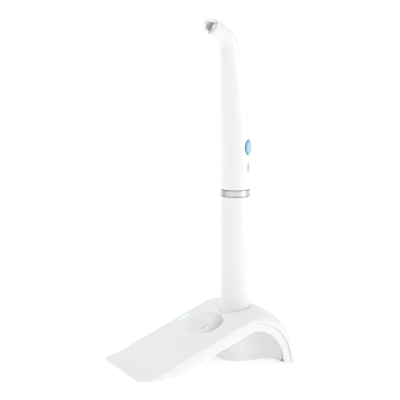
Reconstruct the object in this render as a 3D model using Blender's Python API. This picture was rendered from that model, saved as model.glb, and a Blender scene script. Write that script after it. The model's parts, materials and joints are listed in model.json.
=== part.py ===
"""Dental curing light: a slim cordless handpiece that stands in a wave-shaped charging base.

Sizes are millimetres and angles are degrees until mm() and radians() turn them. The handpiece's axis is
the local Z axis, x is across the base, the low toe points to -y and the floor is z = 0. One empty moves
the whole model along y, so that the origin is under the middle of its outline on the floor.
"""

import bmesh
import bpy
from math import atan2, ceil, cos, pi, radians, sin, sqrt, tan
from mathutils import Matrix, Vector

# Driving sizes of the base
BASE_WIDTH = 77.0
TOE_REACH = 98.3  # from the handpiece's axis to the front edge
RAMP_SLOPE = 23.7
TOE_HEIGHT = 1.7
TOE_CORNER = 10.0
TOE_FILLET = 20.0
TOE_LIP = 8.4  # front edge to where the ramp's line would meet it
CREST_START = 10.0  # the ramp ends this far in front of the axis
CREST_RADIUS = 26.8
CURL_BREAK = 25.0
CURL_RADIUS = 36.9
CURL_END = 79.6
REAR_BULGE = 9.0
CROWN = 1.8
CROWN_START = 18.0  # the crown begins this far in front of the axis
EDGE_RADIUS = 2.4
SLAB_DEPTH = 11.0
SEAM_DEPTH = 3.8
SEAM_STEP = 0.5
SHELL_WALL = 2.2
TOE_SOLID = 24.0  # no hollow this close to the front edge
REAR_SOLID = 4.0  # nor this close to the rear edge
LINER_START = 1.4  # thickness of the lower shell's front edge
LINER_RIM = 9.0  # solid length behind that edge
FOOT_PROUD = 0.6  # height of the rubber feet under the base
FOOT_RADIUS = 3.4
GAP = 0.3  # between pieces that touch
SLIP = 0.05  # between a piece and the one that presses on it

# Screws that hold the two shells together, as places on the ramp
SHELL_SCREWS = ((-29.0, 52.0), (29.0, 52.0), (-29.0, 16.5), (29.0, 16.5))
SCREW_SHANK = 1.1
SCREW_HEAD = 2.2
SCREW_HEAD_DEPTH = 1.3
BOSS_RADIUS = 3.0
PILOT_TOP = -1.7

# Dish with the output meter, in the ramp in front of the handpiece
DISH_CENTRE = 26.5
DISH_WIDTH = 41.0
DISH_LENGTH = 29.0
DISH_DEPTH = 4.0
DISH_WALL = 1.5
# Shares of the dish's width and depth: its hollow, the wall under it and the room left round that wall
DISH_LEVELS = ((1.08, -0.9), (0.93, 0.55), (0.78, 0.85), (0.5, 0.98), (0.2, 1))
BACKING_LEVELS = ((1, 0.24), (0.98, 0.55), (0.84, 0.85), (0.5, 1))
KEEP_LEVELS = ((1.01, 0.1), (0.99, 0.56), (0.85, 0.87), (0.5, 1.03))
METER_RADIUS = 4.0
METER_SENSOR = 4.2
METER_BOARD_WIDTH = 50.0
METER_BOARD_LENGTH = 15.0
BOARD_THICK = 1.0
LIGHT_ACROSS = -30.5
LIGHT_ALONG = 30.0
LIGHT_LENGTH = 11.0
LIGHT_WIDTH = 4.4
LIGHT_END = 6.0  # from the light's middle to the board's end
RAMP_BALLAST_WIDTH = 44.0

# Pedestal under the charging well
TUB_MARGIN = 4.45  # from the well to the pedestal's outside
TUB_FLARE = 12.0  # sweeps the pedestal's sides out into the rear wall
TUB_FLARE_BACK = 5.0
TUB_SHIFT = 2.0
TUB_WALL = 2.0
WELL_FLOOR = 16.0
WELL_WALL = 1.6
WELL_CLEARANCE = 0.45
WELL_BASE = 2.0
KEY_WIDTH = 3.0  # rib in the well and groove in the grip, which keep the grip from turning
KEY_DEPTH = 1.0
KEY_SHARE = 0.65  # of the well's depth
CHARGE_BOARD_RADIUS = 12.5
CHARGE_BOARD_Z = 8.0
PLATE_THICK = 2.0
TUB_BALLAST_RADIUS = 12.2
INLET_WIDTH = 8.0
INLET_HEIGHT = 5.6
INLET_DEPTH = 7.0
INLET_PROUD = 0.8
INLET_BORE = 1.9
INLET_BACK = 10.5  # behind the handpiece's axis
INLET_Z = 6.6

# Spring contacts
PIN_SPACING = 11.0
PIN_RADIUS = 1.1
PIN_FLANGE = 1.5
PIN_FLANGE_Z = 13.8
PIN_TAIL = 0.6
PIN_TAIL_LENGTH = 2.2
PIN_BARREL = 1.9
PIN_BORE = 1.6
PIN_WIRE = 0.32
PAD_RADIUS = 2.6
PAD_RECESS = 1.6
PAD_THICK = 0.8

# Handpiece
GRIP_RADIUS = 11.5
GRIP_WALL = 1.6
GRIP_BOTTOM = 16.3
RING_BOTTOM = 129.3
RING_HEIGHT = 5.3
CAP_HEIGHT = 6.0
GRIP_BOARD_Z = 23.3
CELL_CLEARANCE = 0.8
CELL_LENGTH = 65.0
CELL_BOTTOM = 33.0
JACK_RADIUS = 3.1
JACK_CLEARANCE = 0.35
JACK_WALL = 1.8
JACK_DEPTH = 27.0
JACK_MOUTH = 2.0  # below the silver ring
CARRIER_DEPTH = 22.0
SPIGOT_INSET = 2.0  # from the grip's bore to the plug holder inside the silver ring
SPIGOT_RISE = 1.2
SEAL_WIDTH = 1.3
SEAL_DEPTH = 0.6

# Head, from the silver ring to the lens
BARREL_STRAIGHT = 33.5  # above the ring before the taper starts
TAPER_LENGTH = 73.7
NECK_RADIUS = 7.75
NECK_LEAN = 5.2
LEAN_POWER = 1.3
BEND_RADIUS = 19.0
BEND_END = 60.0
NOSE_LENGTH = 6.0
NOSE_RADIUS = 6.1
HEAD_WALL = 1.5
LENS_RADIUS = 5.7
LENS_STEM = 4.2
BEZEL_LENGTH = 1.3

# Power button and indicator on the barrel; a bearing turns from the toe's side towards +x
BUTTON_BEARING = 125.0
BUTTON_RISE = 32.2  # centre above the ring
BUTTON_LENGTH = 12.6
BUTTON_WIDTH = 8.0
BUTTON_PROUD = 1.4
BUTTON_HEIGHT = 3.4
BUTTON_TRAVEL = 0.8
INDICATOR_RISE = 17.2
INDICATOR_LENGTH = 6.4
INDICATOR_WIDTH = 3.0
DRIVER_OUT = 2.2  # from the barrel's axis to the driver board
DRIVER_RISE = 37.0
DRIVER_MARGIN = 1.75  # from the board's top corners to the shell
DRIVER_LENGTH = 52.0

ROUND = 40  # sides of a large round piece
SMALL_ROUND = 16

HALF_WIDTH = BASE_WIDTH / 2
RING_TOP = RING_BOTTOM + RING_HEIGHT
WELL_RADIUS = GRIP_RADIUS + WELL_CLEARANCE
GRIP_BORE = GRIP_RADIUS - GRIP_WALL
CELL_RADIUS = GRIP_BORE - CELL_CLEARANCE
SPIGOT_RADIUS = GRIP_BORE - SPIGOT_INSET
TUB_RADIUS = WELL_RADIUS + WELL_WALL + TUB_MARGIN
SCREW_LENGTH = SLAB_DEPTH - SCREW_HEAD_DEPTH - SHELL_WALL - GAP
BUTTON_FACE = GRIP_RADIUS + BUTTON_PROUD
SEAT_RADIUS = GRIP_RADIUS - 2.3  # inner ends of the button's seal and of the indicator


def mm(value):
    return value * 0.001


def direction(bearing):
    """Horizontal unit vector: 0 points to the toe, 90 to +x."""
    return Vector((sin(radians(bearing)), -cos(radians(bearing)), 0))


# ---------------------------------------------------------------- objects and materials


def material(name, colour, roughness, metallic=0.0, transmission=0.0):
    made = bpy.data.materials.get(name)
    if made:
        return made
    made = bpy.data.materials.new(name)
    made.use_nodes = True
    shader = made.node_tree.nodes["Principled BSDF"]
    shader.inputs["Base Color"].default_value = (*colour, 1)
    shader.inputs["Roughness"].default_value = roughness
    shader.inputs["Metallic"].default_value = metallic
    shader.inputs["Transmission Weight"].default_value = transmission
    return made


def white_plastic():
    return material("white_plastic", (0.93, 0.93, 0.93), 0.22)


def grey_plastic():
    return material("grey_plastic", (0.45, 0.46, 0.48), 0.4)


def satin_steel():
    return material("satin_steel", (0.72, 0.73, 0.74), 0.3, metallic=1.0)


def satin_aluminium():
    return material("satin_aluminium", (0.8, 0.81, 0.82), 0.35, metallic=1.0)


def gold_contact():
    return material("gold_contact", (0.85, 0.65, 0.3), 0.25, metallic=1.0)


def green_board():
    return material("circuit_board", (0.03, 0.22, 0.1), 0.5)


def dark_rubber():
    return material("dark_rubber", (0.05, 0.05, 0.05), 0.8)


def black_plastic():
    return material("black_plastic", (0.03, 0.03, 0.03), 0.45)


def clear_lens():
    return material("clear_lens", (0.95, 0.97, 0.98), 0.03, transmission=1.0)


def blue_button():
    return material("blue_button", (0.3, 0.62, 0.8), 0.3)


def mint_light():
    return material("mint_light", (0.7, 0.95, 0.9), 0.3, transmission=0.4)


def cell_wrap():
    return material("cell_wrap", (0.1, 0.3, 0.5), 0.35)


def metal_board():
    return material("metal_board", (0.85, 0.85, 0.85), 0.4)


def emitter():
    return material("emitter", (0.25, 0.22, 0.12), 0.3)


def mirror_cone():
    return material("mirror_cone", (0.9, 0.9, 0.9), 0.08, metallic=1.0)


def finish(name, mesh_builder, look, parent, place=None, smooth=35):
    """Turn a bmesh in millimetres into an object in metres, in the material, under its parent."""
    bmesh.ops.remove_doubles(mesh_builder, verts=mesh_builder.verts, dist=1e-4)
    bmesh.ops.dissolve_degenerate(mesh_builder, edges=mesh_builder.edges, dist=1e-4)
    bmesh.ops.recalc_face_normals(mesh_builder, faces=mesh_builder.faces)
    bmesh.ops.scale(mesh_builder, vec=(mm(1), mm(1), mm(1)), verts=mesh_builder.verts)
    mesh = bpy.data.meshes.new(name)
    mesh_builder.to_mesh(mesh)
    mesh_builder.free()
    mesh.shade_smooth()
    mesh.set_sharp_from_angle(angle=radians(smooth))
    made = bpy.data.objects.new(name, mesh)
    bpy.context.scene.collection.objects.link(made)
    if look:
        mesh.materials.append(look)
    made.parent = parent
    if place:
        made.matrix_local = place
    return made


def place_at(x=0.0, y=0.0, z=0.0, turn=None):
    """Matrix for a place in millimetres, with a rotation matrix if the piece is turned."""
    return Matrix.Translation((mm(x), mm(y), mm(z))) @ (turn.to_4x4() if turn else Matrix())


def facing(axis):
    """Rotation that turns local +Z to the axis and keeps local +Y as near to up as it can."""
    return Vector(axis).to_track_quat("Z", "Y").to_matrix()


def hide_tool(tool):
    tool.hide_render = True
    tool.display_type = "WIRE"
    return tool


def join(target, tool):
    change = target.modifiers.new(tool.name, "BOOLEAN")
    change.operation = "UNION"
    change.object = hide_tool(tool)


def cut(target, *tools):
    """Take all the tools out of the target in one cut."""
    group = bpy.data.collections.new(f"{target.name}_cutters")
    for tool in tools:
        group.objects.link(hide_tool(tool))
    change = target.modifiers.new(group.name, "BOOLEAN")
    change.operand_type = "COLLECTION"
    change.collection = group


# ---------------------------------------------------------------- simple solids, in millimetres


def loft(rings, laddered=False):
    """Skin equal-length rings of points into one bmesh; the ends are flat, or laddered where they bend."""
    solid = bmesh.new()
    made = [[solid.verts.new(point) for point in ring] for ring in rings]
    count = len(rings[0])
    for lower, upper in zip(made, made[1:]):
        for i in range(count):
            j = (i + 1) % count
            solid.faces.new((lower[i], lower[j], upper[j], upper[i]))
    for ring in (made[0], made[-1]):
        if laddered:
            for i in range(count // 2 - 1):
                solid.faces.new((ring[i], ring[i + 1], ring[-2 - i], ring[-1 - i]))
        else:
            solid.faces.new(ring)
    if laddered:
        bmesh.ops.triangulate(solid, faces=solid.faces)
    return solid


def turned(outline, sides=ROUND):
    """Turn a closed outline of (radius, height) points about Z; a radius of 0 becomes a pole."""
    solid = bmesh.new()
    columns = []
    for radius, height in outline:
        if radius == 0:
            columns.append([solid.verts.new((0, 0, height))] * sides)
            continue
        turn = [2 * pi * i / sides for i in range(sides)]
        columns.append([solid.verts.new((radius * cos(a), radius * sin(a), height)) for a in turn])
    for this, after in zip(columns, columns[1:] + columns[:1]):
        for i in range(sides):
            j = (i + 1) % sides
            corners = list(dict.fromkeys((this[i], this[j], after[j], after[i])))
            if len(corners) > 2:
                solid.faces.new(corners)
    return solid


def disc(radius, low, high, sides=ROUND):
    return turned([(0, low), (radius, low), (radius, high), (0, high)], sides)


def tube(outer, inner, low, high, sides=ROUND):
    return turned([(inner, low), (outer, low), (outer, high), (inner, high)], sides)


def arc(centre, radius, start, end, steps):
    """Points on an arc in a plane, from one angle to another."""
    angles = [radians(start + (end - start) * i / steps) for i in range(steps + 1)]
    return [(centre[0] + radius * cos(a), centre[1] + radius * sin(a)) for a in angles]


def prism(outline, low, high):
    return loft([[(x, y, z) for x, y in outline] for z in (low, high)])


def box(width, length, low, high):
    x = width / 2
    y = length / 2
    return prism([(-x, -y), (x, -y), (x, y), (-x, y)], low, high)


def oval(length, width, steps=12):
    """Outline of a slot with round ends, its long way along y."""
    end = width / 2
    reach = length / 2 - end
    return arc((0, reach), end, 0, 180, steps) + arc((0, -reach), end, 180, 360, steps)


def domed(outline, low, shoulder, top, rounds=3):
    """An outline extruded, with its upper edge rounded over to a smaller flat face."""
    rings = [[(x, y, low) for x, y in outline], [(x, y, shoulder) for x, y in outline]]
    for i in range(1, rounds + 1):
        angle = radians(90 * i / rounds)
        share = 1 - 0.42 * (1 - cos(angle))
        height = shoulder + (top - shoulder) * sin(angle)
        rings.append([(x * share, y * share, height) for x, y in outline])
    return loft(rings)


# ---------------------------------------------------------------- the wave-shaped slab


def wave_segments():
    """The base's side outline as (length, turn radius, end heading); a radius of 0 is straight."""
    slope = radians(RAMP_SLOPE)
    tangent = TOE_FILLET * tan(slope / 2)
    lip = TOE_LIP - tangent
    ramp = (TOE_REACH - CREST_START - lip - tangent - tangent * cos(slope)) / cos(slope)
    toe_turn = TOE_FILLET * slope
    crest_turn = CREST_RADIUS * radians(RAMP_SLOPE + CURL_BREAK)
    curl_turn = CURL_RADIUS * radians(CURL_END - CURL_BREAK)
    return [
        (lip, 0, 0),
        (toe_turn, TOE_FILLET, RAMP_SLOPE),
        (ramp, 0, RAMP_SLOPE),
        (crest_turn, -CREST_RADIUS, -CURL_BREAK),
        (curl_turn, -CURL_RADIUS, -CURL_END),
    ]


def step_along(y, z, heading, length, radius):
    """Move a length along a straight line or an arc; a negative radius turns downwards."""
    if radius == 0:
        return y + length * cos(heading), z + length * sin(heading), heading
    after = heading + length / radius
    return y + radius * (sin(after) - sin(heading)), z - radius * (cos(after) - cos(heading)), after


def wave(along):
    """Point (y, z) and heading on the base's top outline at a length along it."""
    y, z, heading = -TOE_REACH, TOE_HEIGHT, 0.0
    left = along
    for length, radius, _ in wave_segments():
        if left <= length:
            return step_along(y, z, heading, left, radius)
        y, z, heading = step_along(y, z, heading, length, radius)
        left -= length
    return step_along(y, z, heading, left, 0)


def segment_starts():
    starts = [0.0]
    for length, _, _ in wave_segments():
        starts.append(starts[-1] + length)
    return starts


def wave_length():
    """Length of the outline down to the floor's clearance at the back."""
    curl_foot = segment_starts()[-1]
    _, height, _ = wave(curl_foot)
    return curl_foot + (height - FOOT_PROUD) / sin(radians(CURL_END))


def smooth_step(value, low, high):
    share = min(max((value - low) / (high - low), 0), 1)
    return share * share * (3 - 2 * share)


def half_width(along):
    """Half the base's width, rounded off at the toe's corners."""
    reach = min(along, TOE_CORNER)
    return HALF_WIDTH - TOE_CORNER + sqrt(TOE_CORNER**2 - (TOE_CORNER - reach) ** 2)


def slab_point(along, x, depth):
    """Place of a point under the top surface: the rear bows out and the crest is crowned in the middle."""
    y, z, heading = wave(along)
    middle = 1 - (x / half_width(along)) ** 2
    _, _, _, crest_start, curl_start, _ = segment_starts()
    depth -= CROWN * middle * smooth_step(along, length_at(CROWN_START), (crest_start + curl_start) / 2)
    y += REAR_BULGE * middle * smooth_step(along, crest_start, (crest_start + curl_start) / 2)
    return (x, y + depth * sin(heading), max(z - depth * cos(heading), FOOT_PROUD))


def stations(start, end):
    """Lengths along the outline where the slab gets a cross-section: close together on its bends."""
    marks = {start, end}
    starts = segment_starts()
    spacing = (4, 3, 14, 3.4, 4.2, 8)
    for first, last, pitch in zip(starts, starts[1:] + [wave_length()], spacing):
        count = max(ceil((last - first) / pitch), 1)
        marks |= {first + (last - first) * i / count for i in range(count + 1)}
    marks |= {TOE_CORNER * (1 - cos(radians(90 * i / 4))) for i in range(1, 5)}
    inside = sorted(m for m in marks if start <= m <= end)
    kept = [inside[0]]
    for mark in inside[1:-1]:
        if mark - kept[-1] > 0.8 and inside[-1] - mark > 0.8:
            kept.append(mark)
    return kept + [inside[-1]]


def across(half, count=8):
    return [-half + 2 * half * i / count for i in range(count + 1)]


def rounded_edge(row, half, radius, depth, turn):
    """A row of points across the slab, with a rounded corner added at both of its ends."""
    left = arc((-half + radius, depth + turn * radius), radius, 180, 180 + turn * 90, 3)
    right = [(-x, deep) for x, deep in reversed(left)]
    return left[:-1] + row + right[1:]


def slab(start, end, top, bottom, inset=0.0, round_top=0.0, round_bottom=0.0, floor=FOOT_PROUD):
    """A layer of the wave between two depths; inset narrows it, and its long edges can be rounded."""
    rings = []
    for along in stations(start, end):
        half = half_width(along) - inset
        _, height, heading = wave(along)
        under_depth = min(bottom, (height - floor) / cos(heading)) if heading >= 0 else bottom
        room = 0.7 * (under_depth - top)
        over_radius = min(round_top, room)
        under_radius = min(round_bottom, room)
        over = [(x, top) for x in across(half - over_radius)]
        under = [(x, under_depth) for x in across(half - under_radius)]
        if round_top:
            over = rounded_edge(over, half, over_radius, top, 1)
            under = [(x, under_depth) for x, _ in over]
        if round_bottom:
            under = rounded_edge(under, half, under_radius, under_depth, -1)
            over = [(x, top) for x, _ in under]
        outline = over + under[::-1]
        rings.append([slab_point(along, x, depth) for x, depth in outline])
    return loft(rings, laddered=True)


def ramp_place(across_x, along_y, depth):
    """Matrix on the ramp: local Z stands out of its top surface and local Y runs up it."""
    slope = radians(RAMP_SLOPE)
    _, _, ramp_start, _, _, _ = segment_starts()
    y0, z0, _ = wave(ramp_start)
    z = z0 + (-along_y - y0) * tan(slope)
    up = Vector((0, -sin(slope), cos(slope)))
    origin = Vector((across_x, -along_y, z)) - up * depth
    return place_at(*origin, turn=Matrix.Rotation(slope, 3, "X"))


def length_at(reach):
    """Length along the outline where the ramp is this far in front of the axis."""
    _, _, ramp_start, _, _, _ = segment_starts()
    y0, _, _ = wave(ramp_start)
    return ramp_start + (-reach - y0) / cos(radians(RAMP_SLOPE))


def liner_start():
    """Where the ramp is high enough for the lower shell to begin."""
    needed = FOOT_PROUD + (SEAM_DEPTH + GAP + LINER_START) / cos(radians(RAMP_SLOPE))
    _, _, ramp_start, _, _, _ = segment_starts()
    _, z0, _ = wave(ramp_start)
    return ramp_start + (needed - z0) / sin(radians(RAMP_SLOPE))


# ---------------------------------------------------------------- base


def dish_solid(name, grow, levels, base):
    """A flattened ball in the ramp, as rings of (share of its width, share of its depth)."""
    wide = DISH_WIDTH / 2 + grow
    long = DISH_LENGTH / 2 + grow
    deep = DISH_DEPTH + grow
    rings = []
    sides = 28
    for share, drop in levels:
        turn = [2 * pi * i / sides for i in range(sides)]
        rings.append([(wide * share * cos(a), long * share * sin(a), -drop * deep) for a in turn])
    return finish(name, loft(rings), None, base, ramp_place(0, DISH_CENTRE, 0))


def base_top_shell(base):
    end = wave_length()
    layer = slab(0, end, 0, SEAM_DEPTH, round_top=EDGE_RADIUS)
    shell = finish("base_top_shell", layer, white_plastic(), base)
    join(shell, dish_solid("dish_backing", DISH_WALL, BACKING_LEVELS, base))
    hollow = slab(length_at(TOE_REACH - TOE_SOLID), end - REAR_SOLID, SHELL_WALL, SEAM_DEPTH + 3,
                  inset=SHELL_WALL)
    hollow = finish("top_hollow", hollow, None, base)
    kept = [dish_solid("dish_keep", DISH_WALL, KEEP_LEVELS, base)]
    tools = [hollow, dish_solid("dish_cut", 0, DISH_LEVELS, base)]
    for number, (x, y) in enumerate(SHELL_SCREWS, 1):
        boss = disc(BOSS_RADIUS, -SLAB_DEPTH, 0, SMALL_ROUND)
        pilot = disc(SCREW_SHANK + GAP, -SLAB_DEPTH, PILOT_TOP, SMALL_ROUND)
        kept.append(finish(f"screw_boss_{number}", boss, None, base, ramp_place(x, y, 0)))
        tools.append(finish(f"top_pilot_{number}", pilot, None, base, ramp_place(x, y, 0)))
    cut(hollow, *kept)
    tools.append(finish("grip_hole", disc(WELL_RADIUS, well_top() - 6, 60), None, base))
    sight = disc(METER_RADIUS, -SLAB_DEPTH, 1, 24)
    tools.append(finish("meter_hole", sight, None, base, ramp_place(0, DISH_CENTRE, 0)))
    slot = prism(oval(LIGHT_LENGTH, LIGHT_WIDTH, 6), -SLAB_DEPTH, 2)
    tools.append(finish("light_slot", slot, None, base, ramp_place(LIGHT_ACROSS, LIGHT_ALONG, 0)))
    cut(shell, *tools)
    return shell


def base_lower_shell(base):
    start = liner_start()
    end = wave_length()
    layer = slab(start, end, SEAM_DEPTH + GAP, SLAB_DEPTH, inset=SEAM_STEP, round_bottom=EDGE_RADIUS)
    shell = finish("base_lower_shell", layer, white_plastic(), base)
    tray = slab(start + LINER_RIM, end - REAR_SOLID, SEAM_DEPTH - 1, SLAB_DEPTH - SHELL_WALL,
                inset=SEAM_STEP + SHELL_WALL, floor=FOOT_PROUD + SHELL_WALL)
    tools = [finish("lower_hollow", tray, None, base)]
    tools.append(finish("well_hole", disc(WELL_RADIUS + WELL_WALL + GAP, 5, 60), None, base))
    head = SCREW_HEAD + GAP
    shank = SCREW_SHANK + GAP
    step = -SLAB_DEPTH + SCREW_HEAD_DEPTH
    low = -SLAB_DEPTH - 5
    high = -SEAM_DEPTH - 0.8
    outline = [(0, low), (head, low), (head, step), (shank, step), (shank, high), (0, high)]
    for number, (x, y) in enumerate(SHELL_SCREWS, 1):
        hole = turned(outline, SMALL_ROUND)
        tools.append(finish(f"screw_hole_{number}", hole, None, base, ramp_place(x, y, 0)))
    cut(shell, *tools)
    return shell


def tub_outline(radius, back, flare=0.0):
    """U-shaped outline of the pedestal, round at the front; a flare sweeps its sides out at the back."""
    front = arc((0, TUB_SHIFT), radius, 180, 360, 18)
    side = arc((radius + flare, back - flare), flare, 180, 90, 6) if flare else [(radius, back)]
    return front + side + [(-x, y) for x, y in reversed(side)]


def well_top():
    """The well ends under the back of the dish in front of it."""
    _, z, _ = wave(length_at(WELL_RADIUS + WELL_WALL))
    return z - (DISH_DEPTH + DISH_WALL) / cos(radians(RAMP_SLOPE))


def key_top():
    return WELL_FLOOR + KEY_SHARE * (well_top() - WELL_FLOOR)


def tub_back():
    """How far back the pedestal may reach before it meets the curl's inner face."""
    y, _, _ = wave(wave_length())
    return y - SLAB_DEPTH - 2.2


def charging_tub(base):
    outline = tub_outline(TUB_RADIUS, tub_back() + TUB_FLARE_BACK, TUB_FLARE)
    block = prism(outline, FOOT_PROUD, well_top() + 6)
    shell = finish("charging_tub", block, white_plastic(), base)
    above = slab(length_at(60), wave_length(), -16, SLAB_DEPTH + GAP, inset=-8)
    inner = prism(tub_outline(TUB_RADIUS - TUB_WALL, tub_back() - TUB_WALL), -2, 50)
    inlet_hole = box(INLET_WIDTH + 2 * GAP, 12, -INLET_HEIGHT / 2 - GAP, INLET_HEIGHT / 2 + GAP)
    cut(shell, finish("tub_trim", above, None, base), finish("tub_hollow", inner, None, base),
        finish("inlet_hole", inlet_hole, None, base, inlet_place()))
    return shell


def tub_plate(base):
    reach = TUB_RADIUS - TUB_WALL - GAP
    plate = prism(tub_outline(reach, tub_back() - TUB_WALL - GAP), FOOT_PROUD, FOOT_PROUD + PLATE_THICK)
    return finish("tub_plate", plate, white_plastic(), base)


def key_block(name, extra, low, high, parent):
    """The rib's block, or with something extra the groove's, on the toe's side of the grip's wall."""
    inner = GRIP_RADIUS - KEY_DEPTH + GAP - extra
    outer = WELL_RADIUS + WELL_WALL / 2
    block = box(KEY_WIDTH + 2 * extra, outer - inner, low, high)
    return finish(name, block, None, parent, place_at(0, -(inner + outer) / 2))


def charging_well(base):
    outer = WELL_RADIUS + WELL_WALL
    floor = WELL_FLOOR - WELL_BASE
    top = well_top()
    outline = [(0, floor), (outer, floor), (outer, top)]
    outline += [(WELL_RADIUS, top), (WELL_RADIUS, WELL_FLOOR), (0, WELL_FLOOR)]
    well = finish("charging_well", turned(outline), white_plastic(), base)
    join(well, key_block("well_key", 0, WELL_FLOOR - WELL_BASE / 2, key_top(), base))
    tools = []
    for number, x in enumerate(pin_places(), 1):
        hole = disc(PIN_BARREL + GAP, floor - 1, WELL_FLOOR + 1, SMALL_ROUND)
        tools.append(finish(f"pin_hole_{number}", hole, None, base, place_at(x)))
    cut(well, *tools)
    return well


def pin_places():
    return (-PIN_SPACING / 2, PIN_SPACING / 2)


def charging_board(base):
    board = disc(CHARGE_BOARD_RADIUS, CHARGE_BOARD_Z - BOARD_THICK, CHARGE_BOARD_Z, 24)
    return finish("charging_board", board, green_board(), base)


def charging_module(base):
    """Power components on the charging board, as one moulded block."""
    block = box(9, 6, CHARGE_BOARD_Z + GAP, CHARGE_BOARD_Z + 3.6)
    return finish("charging_module", block, black_plastic(), base, place_at(0, 7.5))


def contact_pin(number, x, base):
    """Sprung plunger: a dome that meets the grip's pad, a flange and a tail inside its spring."""
    top = GRIP_BOTTOM + PAD_RECESS - GAP
    flange = PIN_FLANGE_Z - top
    under = flange - 1
    tail = under - PIN_TAIL_LENGTH
    outline = [(0, tail), (PIN_TAIL, tail), (PIN_TAIL, under), (PIN_FLANGE, under), (PIN_FLANGE, flange)]
    outline += [(PIN_RADIUS, flange)] + arc((0, -PIN_RADIUS), PIN_RADIUS, 0, 90, 3)[:-1] + [(0, 0)]
    pin = turned(outline, SMALL_ROUND)
    return finish(f"contact_pin_{number}", pin, gold_contact(), base, place_at(x, 0, top))


def pin_barrel(number, x, base):
    """Guide in the well's floor whose lip holds the plunger's flange down."""
    low = CHARGE_BOARD_Z + GAP
    high = WELL_FLOOR - GAP
    lip = PIN_RADIUS + 0.08
    outline = [(PIN_BORE, low), (PIN_BARREL, low), (PIN_BARREL, high), (lip, high), (lip, high - 1),
               (PIN_BORE, high - 1)]
    return finish(f"pin_barrel_{number}", turned(outline, SMALL_ROUND), gold_contact(), base, place_at(x))


def coil(name, wire, low, high, turns, radii, steps, parent, place=None):
    """Round-wire coil from a low to a high end, its radius running between two values."""
    curve = bpy.data.curves.new(name, "CURVE")
    curve.dimensions = "3D"
    curve.bevel_depth = mm(wire / 2)
    curve.bevel_resolution = 0
    curve.use_fill_caps = True
    line = curve.splines.new("POLY")
    line.points.add(turns * steps)
    for i, point in enumerate(line.points):
        angle = 2 * pi * i / steps
        share = i / (turns * steps)
        radius = radii[0] + (radii[1] - radii[0]) * share
        height = low + (high - low) * share
        point.co = (mm(radius * cos(angle)), mm(radius * sin(angle)), mm(height), 1)
    made = bpy.data.objects.new(name, curve)
    bpy.context.scene.collection.objects.link(made)
    curve.materials.append(satin_steel())
    made.parent = parent
    if place:
        made.matrix_local = place
    return made


def pin_spring(number, x, base):
    """Spring from the board to the plunger's flange, around its tail."""
    low = CHARGE_BOARD_Z + PIN_WIRE / 2 + GAP
    high = PIN_FLANGE_Z - 1 - PIN_WIRE / 2 - GAP
    middle = (PIN_TAIL + PIN_BORE) / 2 + SLIP
    return coil(f"pin_spring_{number}", PIN_WIRE, low, high, 4, (middle, middle), 8, base, place_at(x))


def inlet_place():
    """On the pedestal's -x side near the floor, local Y pointing out."""
    return place_at(-TUB_RADIUS, INLET_BACK, INLET_Z, turn=Matrix.Rotation(radians(90), 3, "Z"))


def inlet_axis():
    """The inlet's place with local Z, instead of Y, pointing out of the pedestal."""
    return inlet_place() @ Matrix.Rotation(radians(-90), 4, "X")


def power_inlet(base):
    """Jack for the supply's lead, in the pedestal's side under the arch."""
    body = box(INLET_WIDTH, INLET_DEPTH, -INLET_HEIGHT / 2, INLET_HEIGHT / 2)
    bmesh.ops.translate(body, vec=(0, INLET_PROUD - INLET_DEPTH / 2, 0), verts=body.verts)
    made = finish("power_inlet", body, black_plastic(), base, inlet_place())
    bore = disc(INLET_BORE, INLET_PROUD + 1.5 - INLET_DEPTH, 3, SMALL_ROUND)
    cut(made, finish("inlet_bore", bore, None, base, inlet_axis()))
    return made


def inlet_pin(base):
    pin = disc(0.6, INLET_PROUD + 1.5 + SLIP - INLET_DEPTH, 0.2, 10)
    return finish("inlet_pin", pin, satin_steel(), base, inlet_axis())


def meter_parts(base):
    """Output meter under the dish: a clear window, its sensor and the board that also carries the light."""
    place = ramp_place(0, DISH_CENTRE, 0)
    face = -DISH_DEPTH - 0.15
    back = face - DISH_WALL
    finish("meter_window", disc(METER_RADIUS - GAP / 2, back + GAP, face, 24), clear_lens(), base, place)
    board_top = SHELL_WALL + GAP + BOARD_THICK - SLAB_DEPTH
    sensor = box(METER_SENSOR, METER_SENSOR, board_top + SLIP, back)
    finish("meter_sensor", sensor, black_plastic(), base, place)
    board = box(METER_BOARD_WIDTH, METER_BOARD_LENGTH, board_top - BOARD_THICK, board_top)
    middle = LIGHT_ACROSS - LIGHT_END / 2 + METER_BOARD_WIDTH / 2
    finish("meter_board", board, green_board(), base, ramp_place(middle, LIGHT_ALONG, 0))
    lamp = box(2.0, 3.0, board_top + SLIP, board_top + 1.3)
    finish("status_led", lamp, mint_light(), base, ramp_place(LIGHT_ACROSS, LIGHT_ALONG, 0))


def status_light_guide(base):
    """Light guide, flush in the ramp, over the status lamp."""
    guide = domed(oval(LIGHT_LENGTH - GAP, LIGHT_WIDTH - GAP, 6), -SEAM_DEPTH + 0.2, -0.3, 0.1, 2)
    return finish("status_light_guide", guide, mint_light(), base, ramp_place(LIGHT_ACROSS, LIGHT_ALONG, 0))


def ballast_room():
    """Room for the ramp's weight: from the dish's wall to where the ramp gets too low."""
    slope = radians(RAMP_SLOPE)
    under = (SLAB_DEPTH - SHELL_WALL - GAP) / cos(slope)
    _, z, _ = wave(length_at(CREST_START))
    low_end = CREST_START + (z - FOOT_PROUD - SHELL_WALL - GAP - under) / tan(slope)
    return DISH_CENTRE + DISH_LENGTH / 2 + DISH_WALL, low_end


def ramp_ballast(base):
    """Steel weight inside the ramp that keeps the tall handpiece upright."""
    room = SHELL_WALL + GAP
    start, end = ballast_room()
    plate = box(RAMP_BALLAST_WIDTH, (end - start) / 2, room - SLAB_DEPTH, -room)
    return finish("ramp_ballast", plate, satin_steel(), base, ramp_place(0, (start + end) / 2, 0))


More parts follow.
